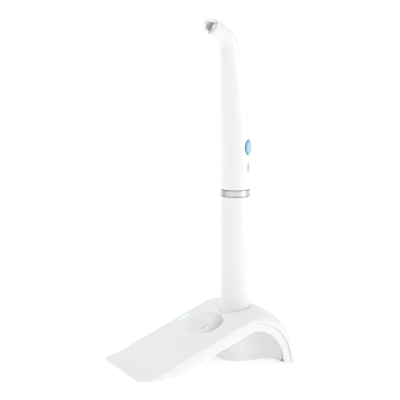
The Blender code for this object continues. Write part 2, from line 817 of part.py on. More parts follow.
def tub_ballast(base):
    """Cast weight on the pedestal's floor plate."""
    low = FOOT_PROUD + PLATE_THICK + GAP
    high = CHARGE_BOARD_Z - BOARD_THICK - 1.2
    weight = disc(TUB_BALLAST_RADIUS, low, high, 28)
    return finish("tub_ballast", weight, satin_steel(), base, place_at(0, -1.5))


def rubber_feet(base):
    """Pads that carry the base: two under the toe, two under the rear foot."""
    rear_y, _, _ = wave(wave_length())
    rear = rear_y - SLAB_DEPTH / 2
    toe = -TOE_REACH + 18
    for number, (x, y) in enumerate(((-26, toe), (26, toe), (-29, rear), (29, rear)), 1):
        pad = disc(FOOT_RADIUS, 0, FOOT_PROUD - SLIP, SMALL_ROUND)
        finish(f"rubber_foot_{number}", pad, dark_rubber(), base, place_at(x, y))


def screw_solid():
    """Flat head down at z = 0, shank up."""
    end = SCREW_HEAD_DEPTH + SCREW_LENGTH
    outline = [(0, 0), (SCREW_HEAD, 0), (SCREW_HEAD, SCREW_HEAD_DEPTH)]
    outline += [(SCREW_SHANK, SCREW_HEAD_DEPTH), (SCREW_SHANK, end), (0, end)]
    return turned(outline, 12)


def screws(base):
    for number, (x, y) in enumerate(SHELL_SCREWS, 1):
        place = ramp_place(x, y, SLAB_DEPTH + SLIP)
        finish(f"shell_screw_{number}", screw_solid(), satin_steel(), base, place)


# ---------------------------------------------------------------- grip


def grip_tube(grip):
    """Battery tube with a groove at its lower end for the well's rib."""
    body = tube(GRIP_RADIUS, GRIP_BORE, GRIP_BOTTOM, RING_BOTTOM - GAP)
    made = finish("grip_tube", body, white_plastic(), grip)
    cut(made, key_block("grip_groove", GAP, GRIP_BOTTOM - 1, key_top() + 1, grip))
    return made


def grip_cap(grip):
    """Moulded plug in the grip's lower end, with a pocket for each charging pad."""
    radius = GRIP_BORE - GAP
    cap = finish("grip_cap", disc(radius, GRIP_BOTTOM, GRIP_BOTTOM + CAP_HEIGHT), grey_plastic(), grip)
    pockets = []
    high = GRIP_BOTTOM + PAD_RECESS + PAD_THICK + GAP
    for number, x in enumerate(pin_places(), 1):
        pocket = disc(PAD_RADIUS + GAP, GRIP_BOTTOM - 2, high, SMALL_ROUND)
        pockets.append(finish(f"pad_pocket_{number}", pocket, None, grip, place_at(x)))
    cut(cap, *pockets)
    return cap


def charge_pads(grip):
    low = GRIP_BOTTOM + PAD_RECESS
    for number, x in enumerate(pin_places(), 1):
        pad = disc(PAD_RADIUS, low, low + PAD_THICK, SMALL_ROUND)
        finish(f"charge_pad_{number}", pad, gold_contact(), grip, place_at(x))


def battery(grip):
    radius = CELL_RADIUS
    top = CELL_BOTTOM + CELL_LENGTH
    outline = [(0, CELL_BOTTOM), (radius - 0.6, CELL_BOTTOM), (radius, CELL_BOTTOM + 0.6)]
    outline += [(radius, top - 1.6), (radius - 0.8, top - 0.8), (3.2, top - 0.8), (3.2, top), (0, top)]
    return finish("battery_cell", turned(outline, 28), cell_wrap(), grip)


def battery_board(grip):
    """Charge and protection board between the cap and the cell."""
    board = disc(GRIP_BORE - 0.5, GRIP_BOARD_Z, GRIP_BOARD_Z + BOARD_THICK, 28)
    return finish("battery_board", board, green_board(), grip)


def battery_spring(grip):
    """Conical contact spring that presses the cell upwards."""
    low = GRIP_BOARD_Z + BOARD_THICK + 0.4
    return coil("battery_spring", 0.8, low, CELL_BOTTOM - 0.6, 4, (6.4, 3.8), 12, grip)


def jack_socket(grip):
    """Female contact that the head's plug turns in."""
    high = RING_BOTTOM - JACK_MOUTH
    low = high - JACK_DEPTH
    inner = JACK_RADIUS + JACK_CLEARANCE
    outer = inner + JACK_WALL
    outline = [(0, low - 1.5), (outer, low - 1.5), (outer, high), (inner, high), (inner, low), (0, low)]
    return finish("jack_socket", turned(outline, 24), gold_contact(), grip)


def socket_carrier(grip):
    """Insulating block that centres the jack socket in the grip."""
    inner = JACK_RADIUS + JACK_CLEARANCE + JACK_WALL + GAP
    body = tube(GRIP_BORE - GAP, inner, RING_BOTTOM - CARRIER_DEPTH, RING_BOTTOM + 0.6, 32)
    return finish("socket_carrier", body, black_plastic(), grip)


def trim_ring(grip):
    """Satin ring between the grip and the head, with softened edges."""
    low = RING_BOTTOM
    high = RING_TOP - GAP
    inner = GRIP_BORE
    outline = [(inner, low), (GRIP_RADIUS - 0.35, low), (GRIP_RADIUS, low + 0.35), (GRIP_RADIUS, high - 0.35)]
    outline += [(GRIP_RADIUS - 0.35, high), (inner, high)]
    return finish("trim_ring", turned(outline, 48), satin_steel(), grip)


# ---------------------------------------------------------------- head


def taper_end():
    return RING_TOP + BARREL_STRAIGHT + TAPER_LENGTH


def head_station(along):
    """Centre (y, z), heading from vertical and outer radius at a length above the ring."""
    taper = along - BARREL_STRAIGHT
    if taper <= 0:
        return 0.0, RING_TOP + along, 0.0, GRIP_RADIUS
    share = min(taper / TAPER_LENGTH, 1)
    lean = -NECK_LEAN * share**LEAN_POWER
    heading = atan2(NECK_LEAN * LEAN_POWER * share ** (LEAN_POWER - 1), TAPER_LENGTH)
    radius = GRIP_RADIUS - (GRIP_RADIUS - NECK_RADIUS) * smooth_taper(share)
    z = RING_TOP + BARREL_STRAIGHT + min(taper, TAPER_LENGTH)
    past = taper - TAPER_LENGTH
    if past <= 0:
        return lean, z, heading, radius
    bend = BEND_RADIUS * (radians(BEND_END) - heading)
    turned_by = min(past, bend)
    after = heading + turned_by / BEND_RADIUS
    y = lean - BEND_RADIUS * (cos(heading) - cos(after))
    z += BEND_RADIUS * (sin(after) - sin(heading))
    straight = max(past - bend, 0)
    y -= straight * sin(after)
    z += straight * cos(after)
    radius = NECK_RADIUS - (NECK_RADIUS - NOSE_RADIUS) * min(past / (bend + NOSE_LENGTH), 1)
    return y, z, after, radius


def smooth_taper(share):
    """The taper starts softly and then runs straight."""
    soft = 0.22
    if share < soft:
        return share * share / (2 * soft) / (1 - soft / 2)
    return (share - soft / 2) / (1 - soft / 2)


def head_length():
    start = atan2(NECK_LEAN * LEAN_POWER, TAPER_LENGTH)
    return BARREL_STRAIGHT + TAPER_LENGTH + BEND_RADIUS * (radians(BEND_END) - start) + NOSE_LENGTH


def head_ring(along, inset, sides):
    y, z, heading, radius = head_station(along)
    reach = radius - inset
    points = []
    for i in range(sides):
        angle = 2 * pi * i / sides
        across_x = reach * cos(angle)
        up = reach * sin(angle)
        points.append((across_x, y + up * cos(heading), z + up * sin(heading)))
    return points


def neck_marks(start, end):
    """Lengths up the head for its cross-sections, close together on the bend."""
    bend = BARREL_STRAIGHT + TAPER_LENGTH
    marks = {start, end, BARREL_STRAIGHT, bend, head_length() - NOSE_LENGTH}
    marks |= {BARREL_STRAIGHT + TAPER_LENGTH * i / 8 for i in range(1, 8)}
    marks |= {bend + (head_length() - NOSE_LENGTH - bend) * i / 8 for i in range(1, 8)}
    return sorted(m for m in marks if start <= m <= end)


def head_sweep(start, end, inset, sides=36, overrun=0.0):
    """The head's outer shape, or one inset from it that runs past both of its ends."""
    rings = [head_ring(along, inset, sides) for along in neck_marks(start, end)]
    if overrun:
        _, _, heading, _ = head_station(end)
        rings.insert(0, [(x, y, z - overrun) for x, y, z in rings[0]])
        rings.append([(x, y - overrun * sin(heading), z + overrun * cos(heading)) for x, y, z in rings[-1]])
    return loft(rings)


def nose_place(ahead):
    """Matrix on the nose's axis, this far ahead of the head shell's rim, local Z pointing out."""
    y, z, heading, _ = head_station(head_length())
    axis = Vector((0, -sin(heading), cos(heading)))
    spot = Vector((0, y, z)) + axis * ahead
    return place_at(*spot, turn=facing(axis))


def side_place(rise, bearing):
    """Matrix on the barrel's axis at a height above the ring, local Z pointing out along the bearing."""
    out = direction(bearing)
    up = Vector((0, 0, 1))
    turn = Matrix((up.cross(out), up, out)).transposed()
    return place_at(0, 0, RING_TOP + rise, turn=turn)


def head_shell(head):
    shell = finish("head_shell", head_sweep(0, head_length(), 0), white_plastic(), head)
    core = finish("head_core", head_sweep(0, head_length(), HEAD_WALL, 28, 3), None, head)
    hole = prism(oval(BUTTON_LENGTH + 1.6, BUTTON_WIDTH + 1.6, 6), 5, 20)
    hole = finish("button_hole", hole, None, head, side_place(BUTTON_RISE, BUTTON_BEARING))
    slot = prism(oval(INDICATOR_LENGTH, INDICATOR_WIDTH, 5), 5, 20)
    slot = finish("indicator_hole", slot, None, head, side_place(INDICATOR_RISE, BUTTON_BEARING))
    cut(shell, core, hole, slot)
    return shell


def plug_holder(head):
    """Insert in the head's lower end that carries the jack plug and a seal."""
    low = RING_BOTTOM + SPIGOT_RISE
    groove = low + SEAL_WIDTH
    flange = RING_TOP + GAP
    high = flange + 5
    inner = JACK_RADIUS + GAP
    outer = GRIP_RADIUS - HEAD_WALL - GAP
    neck = SPIGOT_RADIUS - SEAL_DEPTH
    outline = [(inner, low), (SPIGOT_RADIUS, low), (SPIGOT_RADIUS, groove), (neck, groove)]
    outline += [(neck, groove + SEAL_WIDTH), (SPIGOT_RADIUS, groove + SEAL_WIDTH)]
    outline += [(SPIGOT_RADIUS, flange), (outer, flange), (outer, high), (inner, high)]
    return finish("plug_holder", turned(outline, 32), black_plastic(), head)


def swivel_seal(head):
    """O-ring in the holder's groove, running on the trim ring's bore."""
    middle = RING_BOTTOM + SPIGOT_RISE + SEAL_WIDTH * 1.5
    rim = arc((SPIGOT_RADIUS + 0.45, middle), SEAL_WIDTH / 2 - SLIP, 0, 360, 8)[:-1]
    return finish("swivel_seal", turned(rim, 32), dark_rubber(), head)


def jack_plug(head):
    """Plug that carries current while the head turns: tip, waist and shank."""
    tip = RING_BOTTOM - JACK_MOUTH - JACK_DEPTH + 1.5
    high = RING_TOP + 6
    wide = JACK_RADIUS
    waist = wide - 1.1
    outline = [(0, tip), (1.2, tip), (wide - 0.2, tip + 2.6), (waist, tip + 4.4), (waist, tip + 5.2)]
    outline += [(wide, tip + 5.4), (wide, high), (0, high)]
    return finish("jack_plug", turned(outline, 20), satin_steel(), head)


def driver_board(head):
    high = DRIVER_OUT + BOARD_THICK
    _, _, _, outer = head_station(DRIVER_RISE + DRIVER_LENGTH / 2)
    half = sqrt((outer - HEAD_WALL) ** 2 - high**2) - DRIVER_MARGIN
    board = box(2 * half, DRIVER_LENGTH, DRIVER_OUT, high)
    return finish("driver_board", board, green_board(), head, side_place(DRIVER_RISE, BUTTON_BEARING))


def button_switch(head):
    high = BUTTON_FACE - BUTTON_HEIGHT - BUTTON_TRAVEL - GAP
    body = box(4.5, 4.5, DRIVER_OUT + BOARD_THICK + 0.1, high)
    return finish("button_switch", body, black_plastic(), head, side_place(BUTTON_RISE, BUTTON_BEARING))


def indicator(head):
    outline = oval(INDICATOR_LENGTH - GAP, INDICATOR_WIDTH - GAP, 5)
    window = domed(outline, SEAT_RADIUS, GRIP_RADIUS - 0.15, GRIP_RADIUS + 0.1, 2)
    finish("indicator_window", window, grey_plastic(), head, side_place(INDICATOR_RISE, BUTTON_BEARING))
    low = DRIVER_OUT + BOARD_THICK + 0.1
    lamp = box(1.6, 3.2, low, low + 1.7)
    finish("indicator_led", lamp, mint_light(), head, side_place(INDICATOR_RISE, BUTTON_BEARING))


def buzzer(head):
    """Sounder on the back of the driver board."""
    body = disc(4.6, -1.6, DRIVER_OUT - GAP, 20)
    return finish("buzzer", body, black_plastic(), head, side_place(DRIVER_RISE + 15, BUTTON_BEARING))


def button_seal(head):
    """Soft oval seal between the button and the shell."""
    place = side_place(BUTTON_RISE, BUTTON_BEARING)
    body = prism(oval(BUTTON_LENGTH + 1.0, BUTTON_WIDTH + 1.0, 6), SEAT_RADIUS, GRIP_RADIUS - GAP)
    seal = finish("button_seal", body, grey_plastic(), head, place)
    hole = prism(oval(BUTTON_LENGTH + GAP, BUTTON_WIDTH + GAP, 6), 5, 20)
    cut(seal, finish("seal_hole", hole, None, head, place))
    return seal


def rod_sweep(start, end, radius, sides):
    """A round rod that follows the head's centre line."""
    rings = []
    for along in neck_marks(start, end):
        _, _, _, outer = head_station(along)
        rings.append(head_ring(along, outer - radius, sides))
    return loft(rings)


def heat_rod(head):
    """Aluminium rod that carries the lamp's heat back into the neck."""
    return finish("heat_rod", rod_sweep(74, head_length() - 4.6, 3.9, 16), satin_aluminium(), head)


def lamp_parts(head):
    """Lamp in the nose, from the rod outwards: board, emitter, reflector, bezel and domed lens."""
    nose = nose_place(0)
    finish("led_board", disc(4.2, -4.2, -3.2, 24), metal_board(), head, nose)
    finish("led_emitter", box(2.6, 2.6, -3.1, -2.3), emitter(), head, nose)
    cone = turned([(2.2, -3.0), (2.6, -3.0), (4.0, -0.7), (3.5, -0.7)], 24)
    finish("reflector", cone, mirror_cone(), head, nose)
    bezel = tube(NOSE_RADIUS - 0.15, LENS_STEM + GAP, GAP, BEZEL_LENGTH, 36)
    finish("lens_bezel", bezel, grey_plastic(), head, nose)


def lens(head):
    """Domed lens wider than its stem, which sits in the bezel."""
    foot = BEZEL_LENGTH + 0.25
    outline = [(0, -GAP), (LENS_STEM, -GAP), (LENS_STEM, foot)]
    outline += arc((0, foot), LENS_RADIUS, 0, 90, 8)[:-1] + [(0, foot + LENS_RADIUS)]
    return finish("lens", turned(outline, 32), clear_lens(), head, nose_place(0))


def power_button(button):
    """Oval button whose origin is on its own line of travel."""
    outline = oval(BUTTON_LENGTH, BUTTON_WIDTH, 8)
    key = domed(outline, BUTTON_FACE - BUTTON_HEIGHT, BUTTON_FACE - 1.1, BUTTON_FACE, 4)
    return finish("power_button", key, blue_button(), button)


# ---------------------------------------------------------------- assembly


def empty(name, parent=None, place=None):
    made = bpy.data.objects.new(name, None)
    bpy.context.scene.collection.objects.link(made)
    made.parent = parent
    if place:
        made.matrix_local = place
    return made


def build_base(base):
    base_top_shell(base)
    base_lower_shell(base)
    charging_tub(base)
    tub_plate(base)
    charging_well(base)
    charging_board(base)
    charging_module(base)
    for number, x in enumerate(pin_places(), 1):
        pin_barrel(number, x, base)
        pin_spring(number, x, base)
        contact_pin(number, x, base)
    power_inlet(base)
    inlet_pin(base)
    meter_parts(base)
    status_light_guide(base)
    ramp_ballast(base)
    tub_ballast(base)
    rubber_feet(base)
    screws(base)


def build_grip(grip):
    grip_tube(grip)
    grip_cap(grip)
    charge_pads(grip)
    battery_board(grip)
    battery_spring(grip)
    battery(grip)
    jack_socket(grip)
    socket_carrier(grip)
    trim_ring(grip)


def build_head(head):
    head_shell(head)
    plug_holder(head)
    swivel_seal(head)
    jack_plug(head)
    driver_board(head)
    button_switch(head)
    indicator(head)
    buzzer(head)
    button_seal(head)
    heat_rod(head)
    lamp_parts(head)
    lens(head)


def main():
    for old in list(bpy.data.objects):
        bpy.data.objects.remove(old)
    rear_side, _, _ = wave(wave_length())
    rear = rear_side + REAR_BULGE + CROWN * sin(radians(CURL_END))
    base = empty("base_frame", place=place_at(0, (TOE_REACH - rear) / 2))
    build_base(base)
    grip = empty("grip_axis", base)
    build_grip(grip)
    head = empty("head_swivel_axis", grip)
    build_head(head)
    power_button(empty("button_axis", head, side_place(BUTTON_RISE, BUTTON_BEARING)))


main()
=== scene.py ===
"""Finished look of a dental curing light: a cordless handpiece that stands in a wave-shaped charging base.

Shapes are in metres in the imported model's frame. Each operator makes one piece, or one group of like
pieces, around the solids that the frame holds, and the last one sets the stage.
"""

import json
from math import atan2, ceil, cos, pi, radians, sin, sqrt, tan

import bmesh
import bpy
from bpy.props import FloatProperty, FloatVectorProperty, IntProperty, PointerProperty
from mathutils import Matrix, Vector

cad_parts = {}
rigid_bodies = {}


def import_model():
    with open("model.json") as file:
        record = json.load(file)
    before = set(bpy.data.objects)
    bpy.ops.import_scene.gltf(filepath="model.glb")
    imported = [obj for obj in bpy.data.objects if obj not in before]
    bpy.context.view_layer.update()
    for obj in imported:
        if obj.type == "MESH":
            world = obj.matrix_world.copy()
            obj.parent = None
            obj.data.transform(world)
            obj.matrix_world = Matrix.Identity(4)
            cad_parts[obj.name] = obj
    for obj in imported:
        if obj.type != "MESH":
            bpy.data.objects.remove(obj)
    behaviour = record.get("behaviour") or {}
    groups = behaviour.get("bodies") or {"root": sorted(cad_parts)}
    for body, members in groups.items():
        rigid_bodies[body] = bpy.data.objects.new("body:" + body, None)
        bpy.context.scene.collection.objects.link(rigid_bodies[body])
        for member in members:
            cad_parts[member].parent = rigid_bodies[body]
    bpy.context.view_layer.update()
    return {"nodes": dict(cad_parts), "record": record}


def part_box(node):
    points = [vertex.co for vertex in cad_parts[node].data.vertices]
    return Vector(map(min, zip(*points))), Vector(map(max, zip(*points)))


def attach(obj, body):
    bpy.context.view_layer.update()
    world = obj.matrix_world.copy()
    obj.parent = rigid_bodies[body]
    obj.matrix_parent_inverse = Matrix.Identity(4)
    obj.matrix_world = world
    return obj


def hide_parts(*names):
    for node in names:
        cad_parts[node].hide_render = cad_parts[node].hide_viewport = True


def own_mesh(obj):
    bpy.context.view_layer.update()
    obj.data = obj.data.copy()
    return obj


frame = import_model()

bl_info = {
    "name": "Curing Light",
    "version": (1, 0, 0),
    "blender": (4, 5, 0),
    "location": "3D View > Sidebar > Curing Light",
    "description": "Builds a cordless curing light in its charging base, with studio lighting",
    "category": "Object",
}

MM = 0.001
GRIP_LOW, GRIP_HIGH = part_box("grip_tube")
RING_LOW, RING_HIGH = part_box("trim_ring")
AXIS_Y = (RING_LOW.y + RING_HIGH.y) / 2
GRIP_RADIUS = (RING_HIGH.x - RING_LOW.x) / 2
WELL_LOW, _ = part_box("charging_well")
TUB_LOW, TUB_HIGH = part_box("charging_tub")
SHELL_LOW, SHELL_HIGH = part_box("base_top_shell")

GAP = 0.3 * MM  # between pieces that touch
FLOOR_GAP = 0.6 * MM  # height of the feet under the shells
ROUND = 96  # sides of a large round piece


# ---------------------------------------------------------------- settings


class CuringBaseSettings(bpy.types.PropertyGroup):
    width: FloatProperty(
        name="Width", description="Across the base", default=SHELL_HIGH.x - SHELL_LOW.x, unit="LENGTH"
    )
    toe_reach: FloatProperty(
        name="Toe reach",
        description="Handpiece axis to front edge",
        default=AXIS_Y - SHELL_LOW.y,
        unit="LENGTH",
    )
    toe_height: FloatProperty(
        name="Toe height", description="Top of the front edge", default=1.7 * MM, unit="LENGTH"
    )
    toe_corner: FloatProperty(
        name="Toe corner", description="Radius of the front corners", default=10 * MM, unit="LENGTH"
    )
    ramp_slope: FloatProperty(
        name="Ramp slope", description="Slope of the ramp", default=radians(23.7), unit="ROTATION"
    )
    crest_radius: FloatProperty(
        name="Crest radius", description="Bend over the top", default=26.8 * MM, unit="LENGTH"
    )
    curl_radius: FloatProperty(
        name="Curl radius", description="Bend down to the rear foot", default=36.9 * MM, unit="LENGTH"
    )
    edge_radius: FloatProperty(
        name="Edge radius", description="Rounding of the long edges", default=2.4 * MM, unit="LENGTH"
    )
    dish_depth: FloatProperty(
        name="Dish depth", description="Depth of the meter's dish", default=4 * MM, unit="LENGTH"
    )


class CuringHandpieceSettings(bpy.types.PropertyGroup):
    neck_radius: FloatProperty(
        name="Neck radius", description="Where the taper ends", default=7.75 * MM, unit="LENGTH"
    )
    neck_lean: FloatProperty(
        name="Neck lean", description="How far the taper leans forward", default=5.2 * MM, unit="LENGTH"
    )
    bend_radius: FloatProperty(
        name="Bend radius", description="Bend of the neck", default=19 * MM, unit="LENGTH"
    )
    bend_end: FloatProperty(
        name="Bend end", description="Nose's angle from upright", default=radians(60), unit="ROTATION"
    )
    button_bearing: FloatProperty(
        name="Button bearing",
        description="Button's direction, from the toe",
        default=radians(125),
        unit="ROTATION",
    )
    spring_turns: IntProperty(
        name="Spring turns", description="Turns of each contact spring", default=5, min=2, max=12
    )


class CuringLookSettings(bpy.types.PropertyGroup):
    shell: FloatVectorProperty(
        name="Shell",
        description="Colour of the white shells",
        default=(0.905, 0.908, 0.912),
        subtype="COLOR",
    )
    button: FloatVectorProperty(
        name="Button",
        description="Colour of the power button",
        default=(0.43, 0.66, 0.80),
        subtype="COLOR",
    )
    status: FloatVectorProperty(
        name="Status light",
        description="Colour of the status light",
        default=(0.80, 0.95, 0.93),
        subtype="COLOR",
    )
    metal: FloatVectorProperty(
        name="Ring", description="Colour of the metal ring", default=(0.60, 0.60, 0.59), subtype="COLOR"
    )
    floor: FloatVectorProperty(
        name="Floor", description="Colour of the floor", default=(0.93, 0.93, 0.93), subtype="COLOR"
    )


# ---------------------------------------------------------------- mesh helpers


def piece_from(name, points, faces, place=None):
    """A mesh object at the origin from points and faces, moved by a matrix if one is given."""
    mesh = bpy.data.meshes.new(name)
    mesh.from_pydata(points, [], faces)
    if place:
        mesh.transform(place)
    tidy = bmesh.new()
    tidy.from_mesh(mesh)
    bmesh.ops.remove_doubles(tidy, verts=tidy.verts, dist=1e-7)
    bmesh.ops.recalc_face_normals(tidy, faces=tidy.faces)
    tidy.to_mesh(mesh)
    tidy.free()
    made = bpy.data.objects.new(name, mesh)
    bpy.context.scene.collection.objects.link(made)
    return made


def loft(name, rings, place=None, laddered=False):
    """Skin equal-length rings of points; the ends are one flat face, or a ladder of small ones."""
    count = len(rings[0])
    points = [point for ring in rings for point in ring]
    faces = []
    for row in range(len(rings) - 1):
        for i in range(count):
            j = (i + 1) % count
            faces.append((row * count + i, row * count + j, (row + 1) * count + j, (row + 1) * count + i))
    for first in (0, (len(rings) - 1) * count):
        if laddered:
            last = first + count - 1
            faces += [(first + i, first + i + 1, last - 1 - i, last - i) for i in range(count // 2 - 1)]
        else:
            faces.append(tuple(range(first, first + count)))
    return piece_from(name, points, faces, place)


def turned(name, outline, place=None, sides=ROUND):
    """Turn a closed outline of (radius, height) points about Z; a radius of 0 becomes a pole."""
    points = []
    columns = []
    for radius, height in outline:
        if radius == 0:
            columns.append([len(points)] * sides)
            points.append((0, 0, height))
            continue
        columns.append([len(points) + i for i in range(sides)])
        turn = [2 * pi * i / sides for i in range(sides)]
        points += [(radius * cos(a), radius * sin(a), height) for a in turn]
    faces = []
    for this, after in zip(columns, columns[1:] + columns[:1]):
        for i in range(sides):
            j = (i + 1) % sides
            corners = tuple(dict.fromkeys((this[i], this[j], after[j], after[i])))
            if len(corners) > 2:
                faces.append(corners)
    return piece_from(name, points, faces, place)


def disc(name, radius, low, high, place=None, sides=ROUND):
    return turned(name, [(0, low), (radius, low), (radius, high), (0, high)], place, sides)


def arc(centre, radius, start, end, steps):
    """Points on an arc in a plane, from one angle to another in degrees."""
    angles = [radians(start + (end - start) * i / steps) for i in range(steps + 1)]
    return [(centre[0] + radius * cos(a), centre[1] + radius * sin(a)) for a in angles]


def prism(name, outline, low, high, place=None):
    return loft(name, [[(x, y, z) for x, y in outline] for z in (low, high)], place)


def oval(length, width, steps=16):
    """Outline of a slot with round ends, its long way along y."""
    end = width / 2
    reach = length / 2 - end
    return arc((0, reach), end, 0, 180, steps) + arc((0, -reach), end, 180, 360, steps)


def settle(piece):
    """Turn what the modifiers give into the piece's own mesh."""
    graph = bpy.context.evaluated_depsgraph_get()
    mesh = bpy.data.meshes.new_from_object(piece.evaluated_get(graph), depsgraph=graph)
    piece.modifiers.clear()
    piece.data = mesh


def carve(piece, *cutters):
    """Take the cutters out of the piece in one exact Boolean, then delete them."""
    group = bpy.data.collections.new("cutters")
    for cutter in cutters:
        group.objects.link(cutter)
    change = piece.modifiers.new("carve", "BOOLEAN")
    change.operand_type = "COLLECTION"
    change.collection = group
    settle(piece)
    for cutter in cutters:
        bpy.data.objects.remove(cutter)
    bpy.data.collections.remove(group)
    if not piece.data.polygons:
        raise RuntimeError(f"nothing is left of {piece.name}")


def finished(piece, body, look, slot, *nodes):
    """Shade the piece, give it its material, let it ride on its body and stand for its CAD nodes."""
    piece.data.materials.clear()
    piece.data.materials.append(look)
    piece.data.shade_smooth()
    piece.data.set_sharp_from_angle(angle=radians(32))
    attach(piece, body)
    if nodes:
        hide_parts(*nodes)
    return piece


def on_axis(z=0.0):
    return Matrix.Translation((0, AXIS_Y, z))


# ---------------------------------------------------------------- materials


class Finish:
    """A Principled material whose colour, roughness and relief vary over the surface."""

    def __init__(self, name, **sockets):
        self.material = bpy.data.materials.new(name)
        self.material.use_nodes = True
        self.nodes = self.material.node_tree.nodes
        self.links = self.material.node_tree.links
        self.shader = self.nodes["Principled BSDF"]
        for socket, value in sockets.items():
            self.shader.inputs[socket.replace("_", " ")].default_value = value
        self.coordinates = self.nodes.new("ShaderNodeTexCoord").outputs["Object"]

    def mapped(self, stretch):
        mapping = self.nodes.new("ShaderNodeMapping")
        mapping.inputs["Scale"].default_value = stretch
        self.links.new(self.coordinates, mapping.inputs["Vector"])
        return mapping.outputs["Vector"]

    def noise(self, size, detail=3.0, stretch=(1, 1, 1)):
        """Noise whose features are about this size in metres."""
        texture = self.nodes.new("ShaderNodeTexNoise")
        texture.inputs["Scale"].default_value = 1 / size
        texture.inputs["Detail"].default_value = detail
        self.links.new(self.mapped(stretch), texture.inputs["Vector"])
        return texture.outputs["Fac"]

    def cells(self, size):
        texture = self.nodes.new("ShaderNodeTexVoronoi")
        texture.inputs["Scale"].default_value = 1 / size
        self.links.new(self.mapped((1, 1, 1)), texture.inputs["Vector"])
        return texture.outputs["Distance"]

    def span(self, factor, to_low, to_high, low=0.3, high=0.7):
        remap = self.nodes.new("ShaderNodeMapRange")
        remap.inputs["From Min"].default_value = low
        remap.inputs["From Max"].default_value = high
        remap.inputs["To Min"].default_value = to_low
        remap.inputs["To Max"].default_value = to_high
        self.links.new(factor, remap.inputs["Value"])
        return remap.outputs["Result"]

    def colour(self, factor, *stops):
        """Colours that blend evenly as the factor goes from 0.25 to 0.75."""
        ramp = self.nodes.new("ShaderNodeValToRGB")
        band = ramp.color_ramp
        while len(band.elements) < len(stops):
            band.elements.new(0.5)
        for i, (element, stop) in enumerate(zip(band.elements, stops)):
            element.position = 0.25 + 0.5 * i / (len(stops) - 1)
            element.color = (*stop, 1)
        self.links.new(factor, ramp.inputs["Fac"])
        self.links.new(ramp.outputs["Color"], self.shader.inputs["Base Color"])
        return ramp.outputs["Color"]

    def roughness(self, factor, low, high):
        self.links.new(self.span(factor, low, high), self.shader.inputs["Roughness"])

    def relief(self, factor, depth):
        bump = self.nodes.new("ShaderNodeBump")
        bump.inputs["Distance"].default_value = depth
        self.links.new(factor, bump.inputs["Height"])
        self.links.new(bump.outputs["Normal"], self.shader.inputs["Normal"])


def shade(colour, share):
    return tuple(channel * share for channel in colour)


def kept(name, maker):
    """Make a material once, and give the same one to every later piece."""
    return bpy.data.materials.get(name) or maker(name)


def glossy_white(name):
    look = bpy.context.scene.curing_look
    made = Finish(name, IOR=1.49, Coat_Weight=0.12, Coat_Roughness=0.12)
    made.colour(made.noise(22 * MM, 2), shade(look.shell, 0.988), look.shell, shade(look.shell, 0.996))
    made.roughness(made.noise(3 * MM, 5), 0.30, 0.37)
    made.relief(made.noise(1.1 * MM, 3), 0.004 * MM)
    return made.material


def cover_white_painted_shade(name):
    """The shell's white, with painted shade darkening its colour on the crisp side of the dish's floor."""
    material = glossy_white(name)
    nodes = material.node_tree.nodes
    links = material.node_tree.links
    settings = bpy.context.scene.curing_base
    into_dish = nodes.new("ShaderNodeMapping")
    into_dish.vector_type = "TEXTURE"
    into_dish.inputs["Location"].default_value = Wave(settings).on_ramp(0, DISH_CENTRE).translation
    into_dish.inputs["Rotation"].default_value = (settings.ramp_slope, 0, 0)
    into_dish.inputs["Scale"].default_value = (DISH_WIDTH / 2, DISH_LENGTH / 2, settings.dish_depth)
    links.new(nodes["Texture Coordinate"].outputs["Object"], into_dish.inputs["Vector"])
    flat = nodes.new("ShaderNodeVectorMath")
    flat.operation = "MULTIPLY"
    flat.inputs[1].default_value = (1, 1, 0)
    links.new(into_dish.outputs["Vector"], flat.inputs[0])
    reach = nodes.new("ShaderNodeVectorMath")
    reach.operation = "LENGTH"
    links.new(flat.outputs["Vector"], reach.inputs[0])
    toward = nodes.new("ShaderNodeVectorMath")
    toward.operation = "DOT_PRODUCT"
    toward.inputs[1].default_value = (cos(DISH_CRISP), sin(DISH_CRISP), 0)
    links.new(into_dish.outputs["Vector"], toward.inputs[0])
    height = nodes.new("ShaderNodeSeparateXYZ")
    links.new(into_dish.outputs["Vector"], height.inputs["Vector"])
    # Painted shade mask: inside the dish's outline, towards its crisp side and down in its floor.
    share = None
    for source, low, high in ((reach.outputs["Value"], 1.02, 0.98), (toward.outputs["Value"], 0.0, 0.85),
                              (height.outputs["Z"], -0.05, -0.5)):
        span = nodes.new("ShaderNodeMapRange")
        span.inputs["From Min"].default_value = low
        span.inputs["From Max"].default_value = high
        links.new(source, span.inputs["Value"])
        if share:
            both = nodes.new("ShaderNodeMath")
            both.operation = "MULTIPLY"
            links.new(share, both.inputs[0])
            links.new(span.outputs["Result"], both.inputs[1])
            share = both.outputs["Value"]
        else:
            share = span.outputs["Result"]
    # Painted shade: the colour is multiplied towards half grey there, standing in for the rim's shadow.
    dish_painted_shade = nodes.new("ShaderNodeMix")
    dish_painted_shade.data_type = "RGBA"
    dish_painted_shade.blend_type = "MULTIPLY"
    dish_painted_shade.inputs["B"].default_value = (0.5, 0.5, 0.5, 1)
    links.new(share, dish_painted_shade.inputs["Factor"])
    colour = nodes["Principled BSDF"].inputs["Base Color"]
    links.new(colour.links[0].from_socket, dish_painted_shade.inputs["A"])
    links.new(dish_painted_shade.outputs["Result"], colour)
    return material


def grey_plastic(name):
    made = Finish(name, IOR=1.47)
    made.colour(made.noise(6 * MM), (0.50, 0.51, 0.53), (0.57, 0.58, 0.60))
    made.roughness(made.noise(1.5 * MM, 4), 0.34, 0.46)
    made.relief(made.noise(0.4 * MM, 3), 0.01 * MM)
    return made.material


